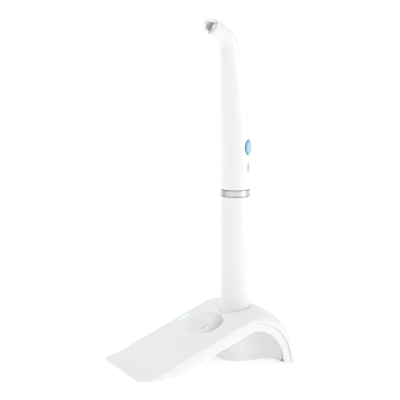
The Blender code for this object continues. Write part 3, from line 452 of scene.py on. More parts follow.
def turned_metal(name):
    """Polished metal with fine lines round its axis and upright bands of painted reflection in its colour.
    """
    look = bpy.context.scene.curing_look
    made = Finish(name, Metallic=1.0)
    # Painted reflection: dark and light upright bands in the colour stand in for the studio's reflections on
    # the ring.
    painted_reflection_bands = made.noise(8 * MM, 1, (1, 1, 0.02))
    made.colour(painted_reflection_bands, shade(look.metal, 0.55), shade(look.metal, 0.95), shade(look.metal, 1.25))
    lines = made.noise(0.16 * MM, 4, (0.02, 0.02, 1))
    made.roughness(lines, 0.14, 0.24)
    made.relief(lines, 0.004 * MM)
    return made.material


def frosted_window(name):
    """Milky window that hides what lies under it."""
    made = Finish(name, IOR=1.49, Coat_Weight=0.2)
    made.colour(made.noise(2 * MM, 2), (0.84, 0.85, 0.86), (0.89, 0.895, 0.90))
    made.roughness(made.noise(0.8 * MM, 3), 0.3, 0.42)
    made.relief(made.noise(0.5 * MM, 2), 0.004 * MM)
    return made.material


def plain_steel(name):
    made = Finish(name, Metallic=1.0)
    made.colour(made.noise(1.8 * MM, 5), (0.58, 0.58, 0.57), (0.74, 0.74, 0.72))
    made.roughness(made.noise(0.7 * MM, 4), 0.22, 0.40)
    made.relief(made.noise(0.3 * MM, 4), 0.006 * MM)
    return made.material


def satin_aluminium(name):
    made = Finish(name, Metallic=1.0)
    made.colour(made.noise(3 * MM, 3, (1, 1, 0.1)), (0.72, 0.73, 0.74), (0.84, 0.85, 0.86))
    made.roughness(made.noise(0.8 * MM, 4), 0.30, 0.42)
    made.relief(made.noise(0.2 * MM, 3, (1, 1, 0.1)), 0.005 * MM)
    return made.material


def gold_contact(name):
    made = Finish(name, Metallic=1.0)
    made.colour(made.noise(1.5 * MM, 4), (0.78, 0.56, 0.22), (0.92, 0.72, 0.36))
    made.roughness(made.noise(0.6 * MM, 4), 0.16, 0.30)
    made.relief(made.noise(0.25 * MM, 3), 0.003 * MM)
    return made.material


def circuit_board(name):
    made = Finish(name, IOR=1.52, Coat_Weight=0.3)
    made.colour(made.cells(1.6 * MM), (0.02, 0.16, 0.07), (0.03, 0.24, 0.11), (0.10, 0.34, 0.18))
    made.roughness(made.noise(1.2 * MM, 3), 0.32, 0.5)
    made.relief(made.cells(0.8 * MM), 0.02 * MM)
    return made.material


def black_plastic(name):
    made = Finish(name, IOR=1.5)
    made.colour(made.noise(4 * MM), (0.02, 0.02, 0.022), (0.045, 0.045, 0.048))
    made.roughness(made.noise(0.9 * MM, 4), 0.38, 0.55)
    made.relief(made.cells(0.3 * MM), 0.01 * MM)
    return made.material


def dark_rubber(name):
    made = Finish(name, IOR=1.5)
    made.colour(made.noise(2.5 * MM, 4), (0.035, 0.035, 0.035), (0.065, 0.064, 0.062))
    made.roughness(made.noise(0.8 * MM, 4), 0.68, 0.85)
    made.relief(made.cells(0.25 * MM), 0.02 * MM)
    return made.material


def pale_rubber(name):
    made = Finish(name, IOR=1.45)
    made.colour(made.noise(2.5 * MM, 4), (0.62, 0.62, 0.61), (0.70, 0.70, 0.69))
    made.roughness(made.noise(0.8 * MM, 4), 0.6, 0.75)
    made.relief(made.cells(0.25 * MM), 0.02 * MM)
    return made.material


def cell_wrap(name):
    made = Finish(name, IOR=1.5, Coat_Weight=0.5)
    made.colour(made.noise(9 * MM, 3, (1, 1, 0.3)), (0.05, 0.19, 0.36), (0.07, 0.25, 0.44))
    made.roughness(made.noise(2 * MM, 3), 0.26, 0.38)
    made.relief(made.noise(1.5 * MM, 2, (1, 1, 0.15)), 0.02 * MM)
    return made.material


def clear_glass(name):
    made = Finish(name, IOR=1.46, Transmission_Weight=1.0)
    made.colour(made.noise(5 * MM, 2), (0.985, 0.99, 0.99), (1, 1, 1))
    made.roughness(made.noise(2 * MM, 3), 0.01, 0.035)
    made.relief(made.noise(2.2 * MM, 2), 0.004 * MM)
    return made.material


def mirror_metal(name):
    made = Finish(name, Metallic=0.25)
    made.colour(made.noise(1.2 * MM, 3), (0.90, 0.91, 0.92), (0.97, 0.97, 0.97))
    made.roughness(made.noise(0.5 * MM, 3), 0.05, 0.12)
    made.relief(made.noise(0.4 * MM, 2), 0.002 * MM)
    return made.material


def lamp_chip(name):
    made = Finish(name, IOR=1.52, Coat_Weight=0.6)
    made.colour(made.cells(0.5 * MM), (0.20, 0.19, 0.16), (0.62, 0.60, 0.52), (0.84, 0.82, 0.74))
    made.roughness(made.noise(0.3 * MM, 2), 0.2, 0.35)
    made.relief(made.cells(0.4 * MM), 0.02 * MM)
    return made.material


def button_blue(name):
    """Pale blue, soft to the touch."""
    look = bpy.context.scene.curing_look
    made = Finish(name, IOR=1.47, Subsurface_Weight=0.15, Subsurface_Scale=2 * MM)
    made.colour(made.noise(3.5 * MM, 2), shade(look.button, 0.93), look.button, shade(look.button, 1.05))
    made.roughness(made.noise(0.8 * MM, 4), 0.26, 0.36)
    made.relief(made.noise(0.5 * MM, 3), 0.008 * MM)
    return made.material


def button_rim(name):
    look = bpy.context.scene.curing_look
    made = Finish(name, IOR=1.47)
    deep = (look.button[0] * 0.18, look.button[1] * 0.42, look.button[2] * 0.5)
    made.colour(made.noise(2 * MM, 3), shade(deep, 0.9), deep)
    made.roughness(made.noise(0.7 * MM, 4), 0.3, 0.42)
    made.relief(made.noise(0.4 * MM, 3), 0.01 * MM)
    return made.material


def mint_light(name):
    look = bpy.context.scene.curing_look
    made = Finish(name, IOR=1.49, Emission_Strength=0.22, Subsurface_Weight=0.2, Subsurface_Scale=2 * MM)
    glow = made.colour(made.noise(4 * MM, 2), shade(look.status, 0.94), look.status)
    made.links.new(glow, made.shader.inputs["Emission Color"])
    made.roughness(made.noise(1 * MM, 3), 0.25, 0.35)
    made.relief(made.noise(0.8 * MM, 2), 0.01 * MM)
    return made.material


def pale_floor(name):
    look = bpy.context.scene.curing_look
    made = Finish(name, IOR=1.4)
    made.colour(made.noise(0.4, 2), shade(look.floor, 0.995), look.floor)
    made.roughness(made.noise(0.05, 3), 0.6, 0.7)
    made.shader.inputs["Emission Color"].default_value = (1, 1, 1, 1)
    made.shader.inputs["Emission Strength"].default_value = FLOOR_GLOW
    return made.material


SLOT_LOOKS = {
    "white_plastic": glossy_white,
    "grey_plastic": grey_plastic,
    "satin_steel": plain_steel,
    "satin_aluminium": satin_aluminium,
    "gold_contact": gold_contact,
    "circuit_board": circuit_board,
    "black_plastic": black_plastic,
    "dark_rubber": dark_rubber,
    "cell_wrap": cell_wrap,
    "clear_lens": clear_glass,
    "mirror_cone": mirror_metal,
    "metal_board": satin_aluminium,
    "emitter": lamp_chip,
    "blue_button": button_blue,
    "mint_light": mint_light,
}


def look_of(slot):
    maker = SLOT_LOOKS[slot]
    return kept(f"{maker.__name__}_finish", maker)


# ---------------------------------------------------------------- the wave-shaped base

TOE_LIP = 8.4 * MM
TOE_FILLET = 20 * MM
CREST_START = 10 * MM  # the ramp ends this far in front of the handpiece's axis
CURL_BREAK = radians(25)
CURL_END = radians(79.6)
REAR_BULGE = 9 * MM
CROWN = 1.8 * MM
CROWN_START = 18 * MM
SLAB_DEPTH = 11 * MM
SEAM_DEPTH = 3.8 * MM
SEAM_STEP = 0.5 * MM
SHELL_WALL = 2.2 * MM
TOE_SOLID = 24 * MM
REAR_SOLID = 4 * MM
LINER_START = 0.5 * MM
LINER_RIM = 9 * MM

DISH_CENTRE = 26.5 * MM  # in front of the handpiece's axis
DISH_WIDTH = 41 * MM
DISH_LENGTH = 29 * MM
DISH_WALL = 1.5 * MM
DISH_FAR = 0.93  # share of the depth on the soft side
DISH_CRISP = radians(25)  # turned from +x towards the top of the ramp
METER_RADIUS = 4 * MM
LIGHT_ACROSS = -30.5 * MM
LIGHT_ALONG = 30 * MM
LIGHT_LENGTH = 11 * MM
LIGHT_WIDTH = 4.4 * MM
SCREW_PLACES = ((-29, 52), (29, 52), (-29, 16.5), (29, 16.5))
WELL_RADIUS = GRIP_RADIUS + 0.45 * MM
WELL_WALL = 1.6 * MM
TUB_FLARE = 12 * MM
TUB_FLARE_BACK = 5 * MM
TUB_RADIUS = (TUB_HIGH.x - TUB_LOW.x) / 2 - TUB_FLARE
TUB_SHIFT = 2 * MM
TUB_WALL = 2 * MM
TUB_BACK_GAP = 2.2 * MM  # from the lower shell's inner side to the pedestal's back
MOUTH_GAP = 0.14 * MM  # round the handpiece, at the hole's mouth
MOUTH_ROUND = 0.4 * MM
MOUTH_DEPTH = 3.4 * MM
SLOPE_STEP = 0.2 * MM  # over which the surface's slope at the mouth is taken
COARSE_PITCH = 3 * MM  # of sections in hollows, which don't show
COARSE_COUNT = 12
SCREW_HEAD_RADIUS = 2.2 * MM
SCREW_HEAD_DEPTH = 1.3 * MM
SCREW_SHANK_RADIUS = 1.1 * MM
SCREW_LENGTH = 5.4 * MM
SCREW_OVERLAP = 0.1 * MM  # of the shank in its head
SCREW_DRIVE_RADIUS = 1.15 * MM
SCREW_DRIVE_DEPTH = 1.4 * MM
SCREW_SINK = 0.05 * MM
FOOT_RADIUS = 3.4 * MM


def smooth_step(value, low, high):
    share = min(max((value - low) / (high - low), 0), 1)
    return share * share * (3 - 2 * share)


class Wave:
    """The base's side outline: a lip, a straight ramp, a crest and a curl down to the rear foot."""

    def __init__(self, settings):
        slope = settings.ramp_slope
        tangent = TOE_FILLET * tan(slope / 2)
        lip = TOE_LIP - tangent
        level = settings.toe_reach - CREST_START - lip - tangent - tangent * cos(slope)
        self.settings = settings
        self.half = settings.width / 2
        self.segments = (
            (lip, 0),
            (TOE_FILLET * slope, TOE_FILLET),
            (level / cos(slope), 0),
            (settings.crest_radius * (slope + CURL_BREAK), -settings.crest_radius),
            (settings.curl_radius * (CURL_END - CURL_BREAK), -settings.curl_radius),
        )
        self.starts = [sum(length for length, _ in self.segments[:i]) for i in range(6)]
        _, foot_height, _ = self.at(self.starts[-1])
        self.length = self.starts[-1] + (foot_height - FLOOR_GAP) / sin(CURL_END)
        self.over = (self.starts[3] + self.starts[4]) / 2

    def at(self, along):
        """Point (y, z) from the handpiece's axis and heading at a length along the outline."""
        y, z, heading = -self.settings.toe_reach, self.settings.toe_height, 0.0
        left = along
        for length, radius in self.segments:
            step = min(left, length)
            if radius == 0:
                y, z = y + step * cos(heading), z + step * sin(heading)
            else:
                after = heading + step / radius
                y, z = y + radius * (sin(after) - sin(heading)), z - radius * (cos(after) - cos(heading))
                heading = after
            left -= step
            if left <= 0:
                return y, z, heading
        return y + left * cos(heading), z + left * sin(heading), heading

    def half_at(self, along):
        corner = self.settings.toe_corner
        reach = min(along, corner)
        return self.half - corner + sqrt(corner**2 - (corner - reach) ** 2)

    def point(self, along, x, depth):
        """Place under the top surface: the rear bows out and the crest is crowned in the middle."""
        y, z, heading = self.at(along)
        middle = 1 - (x / self.half_at(along)) ** 2
        depth -= CROWN * middle * smooth_step(along, self.length_at(CROWN_START), self.over)
        y += REAR_BULGE * middle * smooth_step(along, self.starts[3], self.over)
        return (x, AXIS_Y + y + depth * sin(heading), max(z - depth * cos(heading), FLOOR_GAP))

    def length_at(self, reach):
        """Length along the outline where the ramp is this far in front of the axis."""
        y, _, _ = self.at(self.starts[2])
        return self.starts[2] + (-reach - y) / cos(self.settings.ramp_slope)

    def height_over(self, x, y):
        """Height of the top surface above a place given from the handpiece's axis, found by halving."""
        low, high = 0.0, self.length
        for _ in range(40):
            middle = (low + high) / 2
            if self.point(middle, x, 0)[1] < AXIS_Y + y:
                low = middle
            else:
                high = middle
        return self.point(low, x, 0)[2]

    def on_ramp(self, across, along, depth=0.0):
        """Matrix on the ramp: local Z stands out of its top surface and local Y runs up it."""
        slope = self.settings.ramp_slope
        y0, z0, _ = self.at(self.starts[2])
        z = z0 + (-along - y0) * tan(slope)
        spot = Vector((across, AXIS_Y - along, z)) - Vector((0, -sin(slope), cos(slope))) * depth
        return Matrix.Translation(spot) @ Matrix.Rotation(slope, 4, "X")

    def liner_start(self):
        """Where the ramp is high enough for the lower shell to begin."""
        needed = FLOOR_GAP + (SEAM_DEPTH + GAP + LINER_START) / cos(self.settings.ramp_slope)
        _, z0, _ = self.at(self.starts[2])
        return self.starts[2] + (needed - z0) / sin(self.settings.ramp_slope)

    def stations(self, start, end, pitch):
        """Lengths along the outline for cross-sections, closer together round the toe's corners."""
        count = ceil((end - start) / pitch)
        marks = [start + (end - start) * i / count for i in range(count + 1)]
        corner = self.settings.toe_corner
        marks += [corner * (1 - cos(radians(90 * i / 14))) for i in range(1, 14)]
        inside = sorted(mark for mark in marks if start <= mark <= end)
        spaced = [inside[0]]
        for mark in inside[1:-1]:
            if mark - spaced[-1] > 0.15 * MM and inside[-1] - mark > 0.15 * MM:
                spaced.append(mark)
        return spaced + [inside[-1]]

    def slab(self, name, start, end, top, bottom, inset=0.0, over=0.0, under=0.0, floor=FLOOR_GAP,
             pitch=1.3 * MM, count=56):
        """A layer of the wave between two depths; over and under round its upper and lower long edges."""
        rings = []
        for along in self.stations(start, end, pitch):
            half = self.half_at(along) - inset
            _, height, heading = self.at(along)
            base = min(bottom, (height - floor) / cos(heading)) if heading >= 0 else bottom
            room = 0.7 * (base - top)
            upper = self.row(half, top, min(over, room), 1, count)
            lower = self.row(half, base, min(under, room), -1, count)
            rings.append([self.point(along, x, depth) for x, depth in upper + lower[::-1]])
        return loft(name, rings, laddered=True)

    @staticmethod
    def row(half, depth, radius, turn, count):
        """Points across the slab at one depth, with a rounded corner at both ends."""
        steps = 6
        left = [(-half + radius - radius * cos(radians(90 * i / steps)),
                 depth + turn * radius * (1 - sin(radians(90 * i / steps)))) for i in range(steps)]
        if radius == 0:
            left = [(-half, depth)]
        inner = half - radius
        first = 0 if radius else 1
        flat = [(-inner + 2 * inner * i / count, depth) for i in range(first, count + 1 - first)]
        return left + flat + [(-x, deep) for x, deep in reversed(left)]


def wave_of(context):
    return Wave(context.scene.curing_base)


def dish_form(wave, name, grow, levels, soft=0.0):
    """A flattened bowl in the ramp, as rings of (share of its width, share of its depth).

    With some softness its wall is steep on the side of DISH_CRISP, and eases in on the other side.
    """
    rings = []
    for share, drop in levels:
        ring = []
        for i in range(160):
            turn = 2 * pi * i / 160
            ease = soft * (1 - cos(turn - DISH_CRISP)) / 2 if drop > 0 else 0
            depth = drop * (1 - ease) + DISH_FAR * smooth_step(1 - share, 0, 0.8) * ease
            across = (DISH_WIDTH / 2 + grow) * share * cos(turn)
            along = (DISH_LENGTH / 2 + grow) * share * sin(turn)
            ring.append((across, along, -depth * (wave.settings.dish_depth + grow)))
        rings.append(ring)
    return loft(name, rings, wave.on_ramp(0, DISH_CENTRE))


def dish_levels():
    """A rounded rim, a steep side and a floor that eases in from it."""
    turns = [radians(15 * i) for i in range(5, -1, -1)]
    rim = [(0.982 + 0.024 * (1 - cos(turn)), 0.10 - 0.16 * sin(turn)) for turn in turns]
    side = [(0.965, 0.32), (0.94, 0.58), (0.915, 0.74), (0.88, 0.86), (0.82, 0.94), (0.72, 0.98),
            (0.6, 0.99), (0.45, 0.995), (0.2, 1.0)]
    return [(1.05, -0.9), *rim, *side]


def hole_rim(wave, radius, round_over, depth):
    """Rounded mouth of the handpiece's hole, which meets the curved top surface all the way round."""
    rings = []
    outer = radius + round_over
    for i in range(ROUND):
        angle = 2 * pi * i / ROUND
        out = Vector((cos(angle), sin(angle), 0))
        edge = wave.height_over(out.x * outer, out.y * outer)
        past = wave.height_over(out.x * (outer + SLOPE_STEP), out.y * (outer + SLOPE_STEP))
        rise = (edge - past) / SLOPE_STEP
        lip = edge + rise * round_over * 0.8
        profile = [(outer, edge - depth), (outer, edge)]
        for j in range(1, 7):
            share = j / 6
            first, middle, last = (1 - share) ** 2, 2 * share * (1 - share), share**2
            reach = first * outer + middle * radius + last * radius
            height = first * edge + middle * lip + last * (lip - 1.1 * round_over)
            profile.append((reach, height))
        profile.append((radius, edge - depth))
        rings.append([(out.x * r, AXIS_Y + out.y * r, z) for r, z in profile])
    count = len(rings[0])
    points = [point for ring in rings for point in ring]
    faces = []
    for row in range(ROUND):
        after = (row + 1) % ROUND
        for i in range(count):
            j = (i + 1) % count
            faces.append((row * count + i, row * count + j, after * count + j, after * count + i))
    return piece_from("handpiece_hole_rim", points, faces)


class CURING_OT_base_cover(bpy.types.Operator):
    """Glossy upper shell of the base, with its dish, its holes and a rounded mouth for the handpiece"""

    bl_idname = "curing.base_cover"
    bl_label = "Base Cover"

    def execute(self, context):
        wave = wave_of(context)
        end = wave.length
        edge = wave.settings.edge_radius
        cover = wave.slab("base_cover", 0, end, 0, SEAM_DEPTH, over=edge)
        backing = [(1, 0.24), (0.98, 0.55), (0.84, 0.85), (0.5, 1)]
        union = cover.modifiers.new("backing", "BOOLEAN")
        union.operation = "UNION"
        union.object = dish_form(wave, "dish_backing", DISH_WALL, backing)
        settle(cover)
        bpy.data.objects.remove(bpy.data.objects["dish_backing"])
        first = wave.length_at(wave.settings.toe_reach - TOE_SOLID)
        hollow = wave.slab("cover_hollow", first, end - REAR_SOLID, SHELL_WALL, SEAM_DEPTH + 3 * MM,
                           inset=SHELL_WALL, pitch=COARSE_PITCH, count=COARSE_COUNT)
        keep = [(1.01, 0.1), (0.99, 0.56), (0.85, 0.87), (0.5, 1.03)]
        carve(hollow, dish_form(wave, "dish_keep", DISH_WALL, keep))
        mouth = disc("mouth", WELL_RADIUS + MOUTH_ROUND, 24 * MM, 60 * MM, on_axis())
        meter = disc("meter_sight", METER_RADIUS, -SLAB_DEPTH, 1 * MM, wave.on_ramp(0, DISH_CENTRE), 48)
        slot = prism("light_slot", oval(LIGHT_LENGTH, LIGHT_WIDTH), -SLAB_DEPTH, 2 * MM,
                     wave.on_ramp(LIGHT_ACROSS, LIGHT_ALONG))
        carve(cover, hollow, dish_form(wave, "dish", 0, dish_levels(), 1.0), mouth, meter, slot)
        white = look_of("white_plastic")
        # The cover's white carries painted shade on the crisp side of the dish.
        finished(cover, "base", kept("cover_white_painted_shade_finish", cover_white_painted_shade), "white_plastic", "base_top_shell")
        radius = GRIP_RADIUS + MOUTH_GAP
        rim = hole_rim(wave, radius, MOUTH_ROUND + WELL_RADIUS - radius, MOUTH_DEPTH)
        finished(rim, "base", white, "white_plastic", "base_top_shell")
        return {"FINISHED"}


class CURING_OT_base_liner(bpy.types.Operator):
    """Lower shell of the base, which shows as a second band under the seam"""

    bl_idname = "curing.base_liner"
    bl_label = "Base Liner"

    def execute(self, context):
        wave = wave_of(context)
        start, end = wave.liner_start(), wave.length
        liner = wave.slab("base_liner", start, end, SEAM_DEPTH + GAP, SLAB_DEPTH, inset=SEAM_STEP,
                          under=wave.settings.edge_radius)
        tray = wave.slab("tray", start + LINER_RIM, end - REAR_SOLID, SEAM_DEPTH - 1 * MM,
                         SLAB_DEPTH - SHELL_WALL, inset=SEAM_STEP + SHELL_WALL,
                         floor=FLOOR_GAP + SHELL_WALL, pitch=COARSE_PITCH, count=COARSE_COUNT)
        well = disc("well_hole", WELL_RADIUS + WELL_WALL + GAP, 5 * MM, 60 * MM, on_axis())
        tools = [tray, well]
        head = SCREW_HEAD_RADIUS + GAP
        shank = SCREW_SHANK_RADIUS + GAP
        step = SCREW_HEAD_DEPTH - SLAB_DEPTH
        low = -14 * MM
        high = -4.6 * MM
        outline = [(0, low), (head, low), (head, step), (shank, step), (shank, high), (0, high)]
        for number, (x, y) in enumerate(SCREW_PLACES):
            tools.append(turned(f"screw_hole_{number}", outline, wave.on_ramp(x * MM, y * MM), 32))
        carve(liner, *tools)
        finished(liner, "base", look_of("white_plastic"), "white_plastic", "base_lower_shell")
        return {"FINISHED"}


def tub_outline(radius, back, flare=0.0):
    """U-shaped outline of the pedestal, round at the front; a flare sweeps its sides out at the back."""
    front = arc((0, TUB_SHIFT), radius, 180, 360, 48)
    side = arc((radius + flare, back - flare), flare, 180, 90, 14) if flare else [(radius, back)]
    return front + side + [(-x, y) for x, y in reversed(side)]


class CURING_OT_pedestal(bpy.types.Operator):
    """Pedestal under the charging well, its foot softly rounded"""

    bl_idname = "curing.pedestal"
    bl_label = "Pedestal"

    def execute(self, context):
        wave = wave_of(context)
        rear, _, _ = wave.at(wave.length)
        back = rear - SLAB_DEPTH - TUB_BACK_GAP
        foot = 0.9 * MM
        rings = []
        for i in range(6):
            angle = radians(90 * i / 5)
            inset = foot * (1 - sin(angle))
            height = TUB_LOW.z + foot * (1 - cos(angle))
            outline = tub_outline(TUB_RADIUS - inset, back + TUB_FLARE_BACK - inset, TUB_FLARE)
            rings.append([(x, y, height) for x, y in outline])
        outline = tub_outline(TUB_RADIUS, back + TUB_FLARE_BACK, TUB_FLARE)
        rings.append([(x, y, 40 * MM) for x, y in outline])
        tub = loft("pedestal", rings, on_axis())
        above = wave.slab("tub_trim", wave.length_at(60 * MM), wave.length, -16 * MM, SLAB_DEPTH + GAP,
                          inset=-8 * MM, count=24)
        outline = tub_outline(TUB_RADIUS - TUB_WALL, back - TUB_WALL)
        inner = prism("tub_hollow", outline, -2 * MM, 50 * MM, on_axis())
        low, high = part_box("power_inlet")
        corners = [(low.x - 5 * MM, low.y - GAP), (high.x + 5 * MM, low.y - GAP),
                   (high.x + 5 * MM, high.y + GAP), (low.x - 5 * MM, high.y + GAP)]
        socket = prism("inlet_hole", corners, low.z - GAP, high.z + GAP)
        carve(tub, above, inner, socket)
        finished(tub, "base", look_of("white_plastic"), "white_plastic", "charging_tub")
        return {"FINISHED"}


# ---------------------------------------------------------------- handpiece

RING_TOP = RING_HIGH.z + GAP
BARREL_STRAIGHT = 33.5 * MM
TAPER_LENGTH = 73.7 * MM
LEAN_POWER = 1.3
NOSE_LENGTH = 6 * MM
NOSE_RADIUS = 6.1 * MM
HEAD_WALL = 1.5 * MM
TAPER_SOFT = 0.22  # share of the taper over which it eases in
BUTTON_RISE = 32.9 * MM
KEY_LENGTH = 11 * MM
KEY_WIDTH = 7.2 * MM
BUTTON_FACE = GRIP_RADIUS + 1.4 * MM
BUTTON_HEIGHT = 3.4 * MM
BUTTON_SWELL = 1.4 * MM
SEAT_RADIUS = GRIP_RADIUS - 2.3 * MM
SEAL_TOP = GRIP_RADIUS - 0.3 * MM
SEAL_SPREAD = 1.4 * MM  # how much larger the seal is than the key
HOLE_SPREAD = 1.5 * MM
CUT_SPAN = (5 * MM, 20 * MM)  # from the barrel's axis, for holes in its side
INDICATOR_SHOULDER = GRIP_RADIUS - 0.15 * MM
INDICATOR_FACE = GRIP_RADIUS + 0.1 * MM
INDICATOR_RISE = 17.2 * MM
INDICATOR_LENGTH = 6.4 * MM
INDICATOR_WIDTH = 3 * MM
LENS_RADIUS = 5.7 * MM
LENS_STEM = 4.2 * MM
LENS_EDGE = 0.15 * MM
LENS_GAP = 0.25 * MM
BEZEL_LENGTH = 1.3 * MM
BEZEL_INSET = 0.15 * MM
BEZEL_ROUND = 0.3 * MM
BOWL_WALL = 0.4 * MM


class Neck:
    """The head's centre line: a straight barrel, a leaning taper, a bend and a short nose."""

    def __init__(self, settings):
        self.settings = settings
        self.lean_heading = atan2(settings.neck_lean * LEAN_POWER, TAPER_LENGTH)
        self.bend = settings.bend_radius * (settings.bend_end - self.lean_heading)
        self.length = BARREL_STRAIGHT + TAPER_LENGTH + self.bend + NOSE_LENGTH

    def at(self, along):
        """Centre (y, z), heading from upright and outer radius at a length above the ring."""
        taper = along - BARREL_STRAIGHT
        if taper <= 0:
            return 0.0, RING_TOP + along, 0.0, GRIP_RADIUS
        lean = self.settings.neck_lean
        neck = self.settings.neck_radius
        bend_radius = self.settings.bend_radius
        share = min(taper / TAPER_LENGTH, 1)
        soft = share * share / (2 * TAPER_SOFT) if share < TAPER_SOFT else share - TAPER_SOFT / 2
        radius = GRIP_RADIUS - (GRIP_RADIUS - neck) * soft / (1 - TAPER_SOFT / 2)
        heading = atan2(lean * LEAN_POWER * share ** (LEAN_POWER - 1), TAPER_LENGTH)
        y = -lean * share**LEAN_POWER
        z = RING_TOP + BARREL_STRAIGHT + min(taper, TAPER_LENGTH)
        past = taper - TAPER_LENGTH
        if past <= 0:
            return y, z, heading, radius
        after = heading + min(past, self.bend) / bend_radius
        straight = max(past - self.bend, 0)
        y -= bend_radius * (cos(heading) - cos(after)) + straight * sin(after)
        z += bend_radius * (sin(after) - sin(heading)) + straight * cos(after)
        radius = neck - (neck - NOSE_RADIUS) * min(past / (self.bend + NOSE_LENGTH), 1)
        return y, z, after, radius

    def ring(self, along, inset, sides, shift=0.0):
        y, z, heading, radius = self.at(along)
        y -= shift * sin(heading)
        z += shift * cos(heading)
        points = []
        for i in range(sides):
            angle = 2 * pi * i / sides
            across = (radius - inset) * cos(angle)
            up = (radius - inset) * sin(angle)
            points.append((across, AXIS_Y + y + up * cos(heading), z + up * sin(heading)))
        return points

    def nose(self):
        """Matrix on the nose's axis, local Z pointing out of the rim."""
        y, z, heading, _ = self.at(self.length)
        axis = Vector((0, -sin(heading), cos(heading)))
        turn = axis.to_track_quat("Z", "Y").to_matrix().to_4x4()
        return Matrix.Translation((0, AXIS_Y + y, z)) @ turn

    def side(self, rise):
        """Matrix on the barrel's axis above the ring, local Z pointing out through the button."""
        bearing = self.settings.button_bearing
        out = Vector((sin(bearing), -cos(bearing), 0))
        up = Vector((0, 0, 1))
        turn = Matrix((up.cross(out), up, out)).transposed().to_4x4()
        return Matrix.Translation((0, AXIS_Y, RING_TOP + rise)) @ turn


def neck_of(context):
    return Neck(context.scene.curing_handpiece)


def rounded_lathe(outer, inner, low, high, fillet, steps=6):
    """Outline of a tube whose outer edges are rounded."""
    lower = arc((outer - fillet, low + fillet), fillet, -90, 0, steps)
    upper = arc((outer - fillet, high - fillet), fillet, 0, 90, steps)
    return [(inner, low), *lower, *upper, (inner, high)]


class CURING_OT_grip(bpy.types.Operator):
    """Battery tube of the handpiece, with rounded ends and the groove that keys it in the well"""

    bl_idname = "curing.grip"
    bl_label = "Grip"

    def execute(self, context):
        outline = rounded_lathe(GRIP_RADIUS, GRIP_RADIUS - 1.6 * MM, GRIP_LOW.z, GRIP_HIGH.z, 0.4 * MM)
        grip = turned("grip_sleeve", outline, on_axis(), 128)
        inner = AXIS_Y - GRIP_RADIUS + 1 * MM
        outer = inner - 3 * MM
        half = 1.8 * MM
        corners = [(-half, outer), (half, outer), (half, inner), (-half, inner)]
        groove = prism("grip_groove", corners, GRIP_LOW.z - 1 * MM, WELL_LOW.z + 12 * MM)
        carve(grip, groove)
        finished(grip, "grip", look_of("white_plastic"), "white_plastic", "grip_tube")
        return {"FINISHED"}


class CURING_OT_ring(bpy.types.Operator):
    """Turned metal ring between the grip and the swivelling head"""

    bl_idname = "curing.ring"
    bl_label = "Metal Ring"

    def execute(self, context):
        low, high = RING_LOW.z, RING_HIGH.z
        outer = GRIP_RADIUS
        line = 0.12 * MM
        outline = [(outer - 1.6 * MM, low)]
        outline += arc((outer - 0.35 * MM, low + 0.35 * MM), 0.35 * MM, -90, 0, 5)
        for height in (low + 0.8 * MM, high - 0.8 * MM):
            outline += [(outer, height - line), (outer - line, height), (outer, height + line)]
        outline += arc((outer - 0.35 * MM, high - 0.35 * MM), 0.35 * MM, 0, 90, 5)
        outline.append((outer - 1.6 * MM, high))
        ring = turned("metal_ring", outline, on_axis(), 128)
        # The ring's metal carries upright bands of painted reflection.
        finished(ring, "grip", kept("turned_metal_finish", turned_metal), "satin_steel", "trim_ring")
        return {"FINISHED"}


class CURING_OT_head(bpy.types.Operator):
    """Swivelling head shell, from the barrel through the bent neck to the nose"""

    bl_idname = "curing.head"
    bl_label = "Head Shell"

    def execute(self, context):
        neck = neck_of(context)
        marks = [BARREL_STRAIGHT * i / 8 for i in range(8)]
        rest = neck.length - BARREL_STRAIGHT
        marks += [BARREL_STRAIGHT + rest * i / 96 for i in range(97)]
        sides = 112
        edge = 0.35 * MM
        lip = [neck.ring(0, edge, sides), neck.ring(edge * 0.3, edge * 0.3, sides)]
        nose = [neck.ring(neck.length, edge * 0.3, sides, edge * -0.3), neck.ring(neck.length, edge, sides)]
        body = [neck.ring(max(along, edge), 0, sides) for along in marks[:-1]]
        shell = loft("head_cover", lip + body + [neck.ring(neck.length, 0, sides, -edge)] + nose)
        core = [neck.ring(0, HEAD_WALL, 64, -3 * MM)]
        core += [neck.ring(along, HEAD_WALL, 64) for along in marks[::3]]
        core.append(neck.ring(neck.length, HEAD_WALL, 64, 3 * MM))
        outline = egg(KEY_LENGTH + HOLE_SPREAD, KEY_WIDTH + HOLE_SPREAD)
        hole = prism("button_hole", outline, *CUT_SPAN, neck.side(BUTTON_RISE))
        outline = oval(INDICATOR_LENGTH, INDICATOR_WIDTH)
        slot = prism("indicator_hole", outline, *CUT_SPAN, neck.side(INDICATOR_RISE))
        carve(shell, loft("head_core", core), hole, slot)
        finished(shell, "head", look_of("white_plastic"), "white_plastic", "head_shell")
        return {"FINISHED"}


def egg(length, width, steps=44):
    """Outline of an ellipse, its long way along y."""
    turn = [2 * pi * i / steps for i in range(steps)]
    return [(width / 2 * cos(a), length / 2 * sin(a)) for a in turn]


def pillow(name, outline, low, shoulder, top, place):
    """A key with this outline, whose face swells gently and rolls over at its edge."""
    rounds = 10
    rings = [[(x, y, low) for x, y in outline]]
    for i in range(rounds + 1):
        angle = radians(90 * i / rounds)
        share = 1 - 0.985 * (1 - cos(angle)) ** 1.35
        height = shoulder + (top - shoulder) * sin(angle) ** 0.8
        rings.append([(x * share, y * share, height) for x, y in outline])
    return loft(name, rings, place)


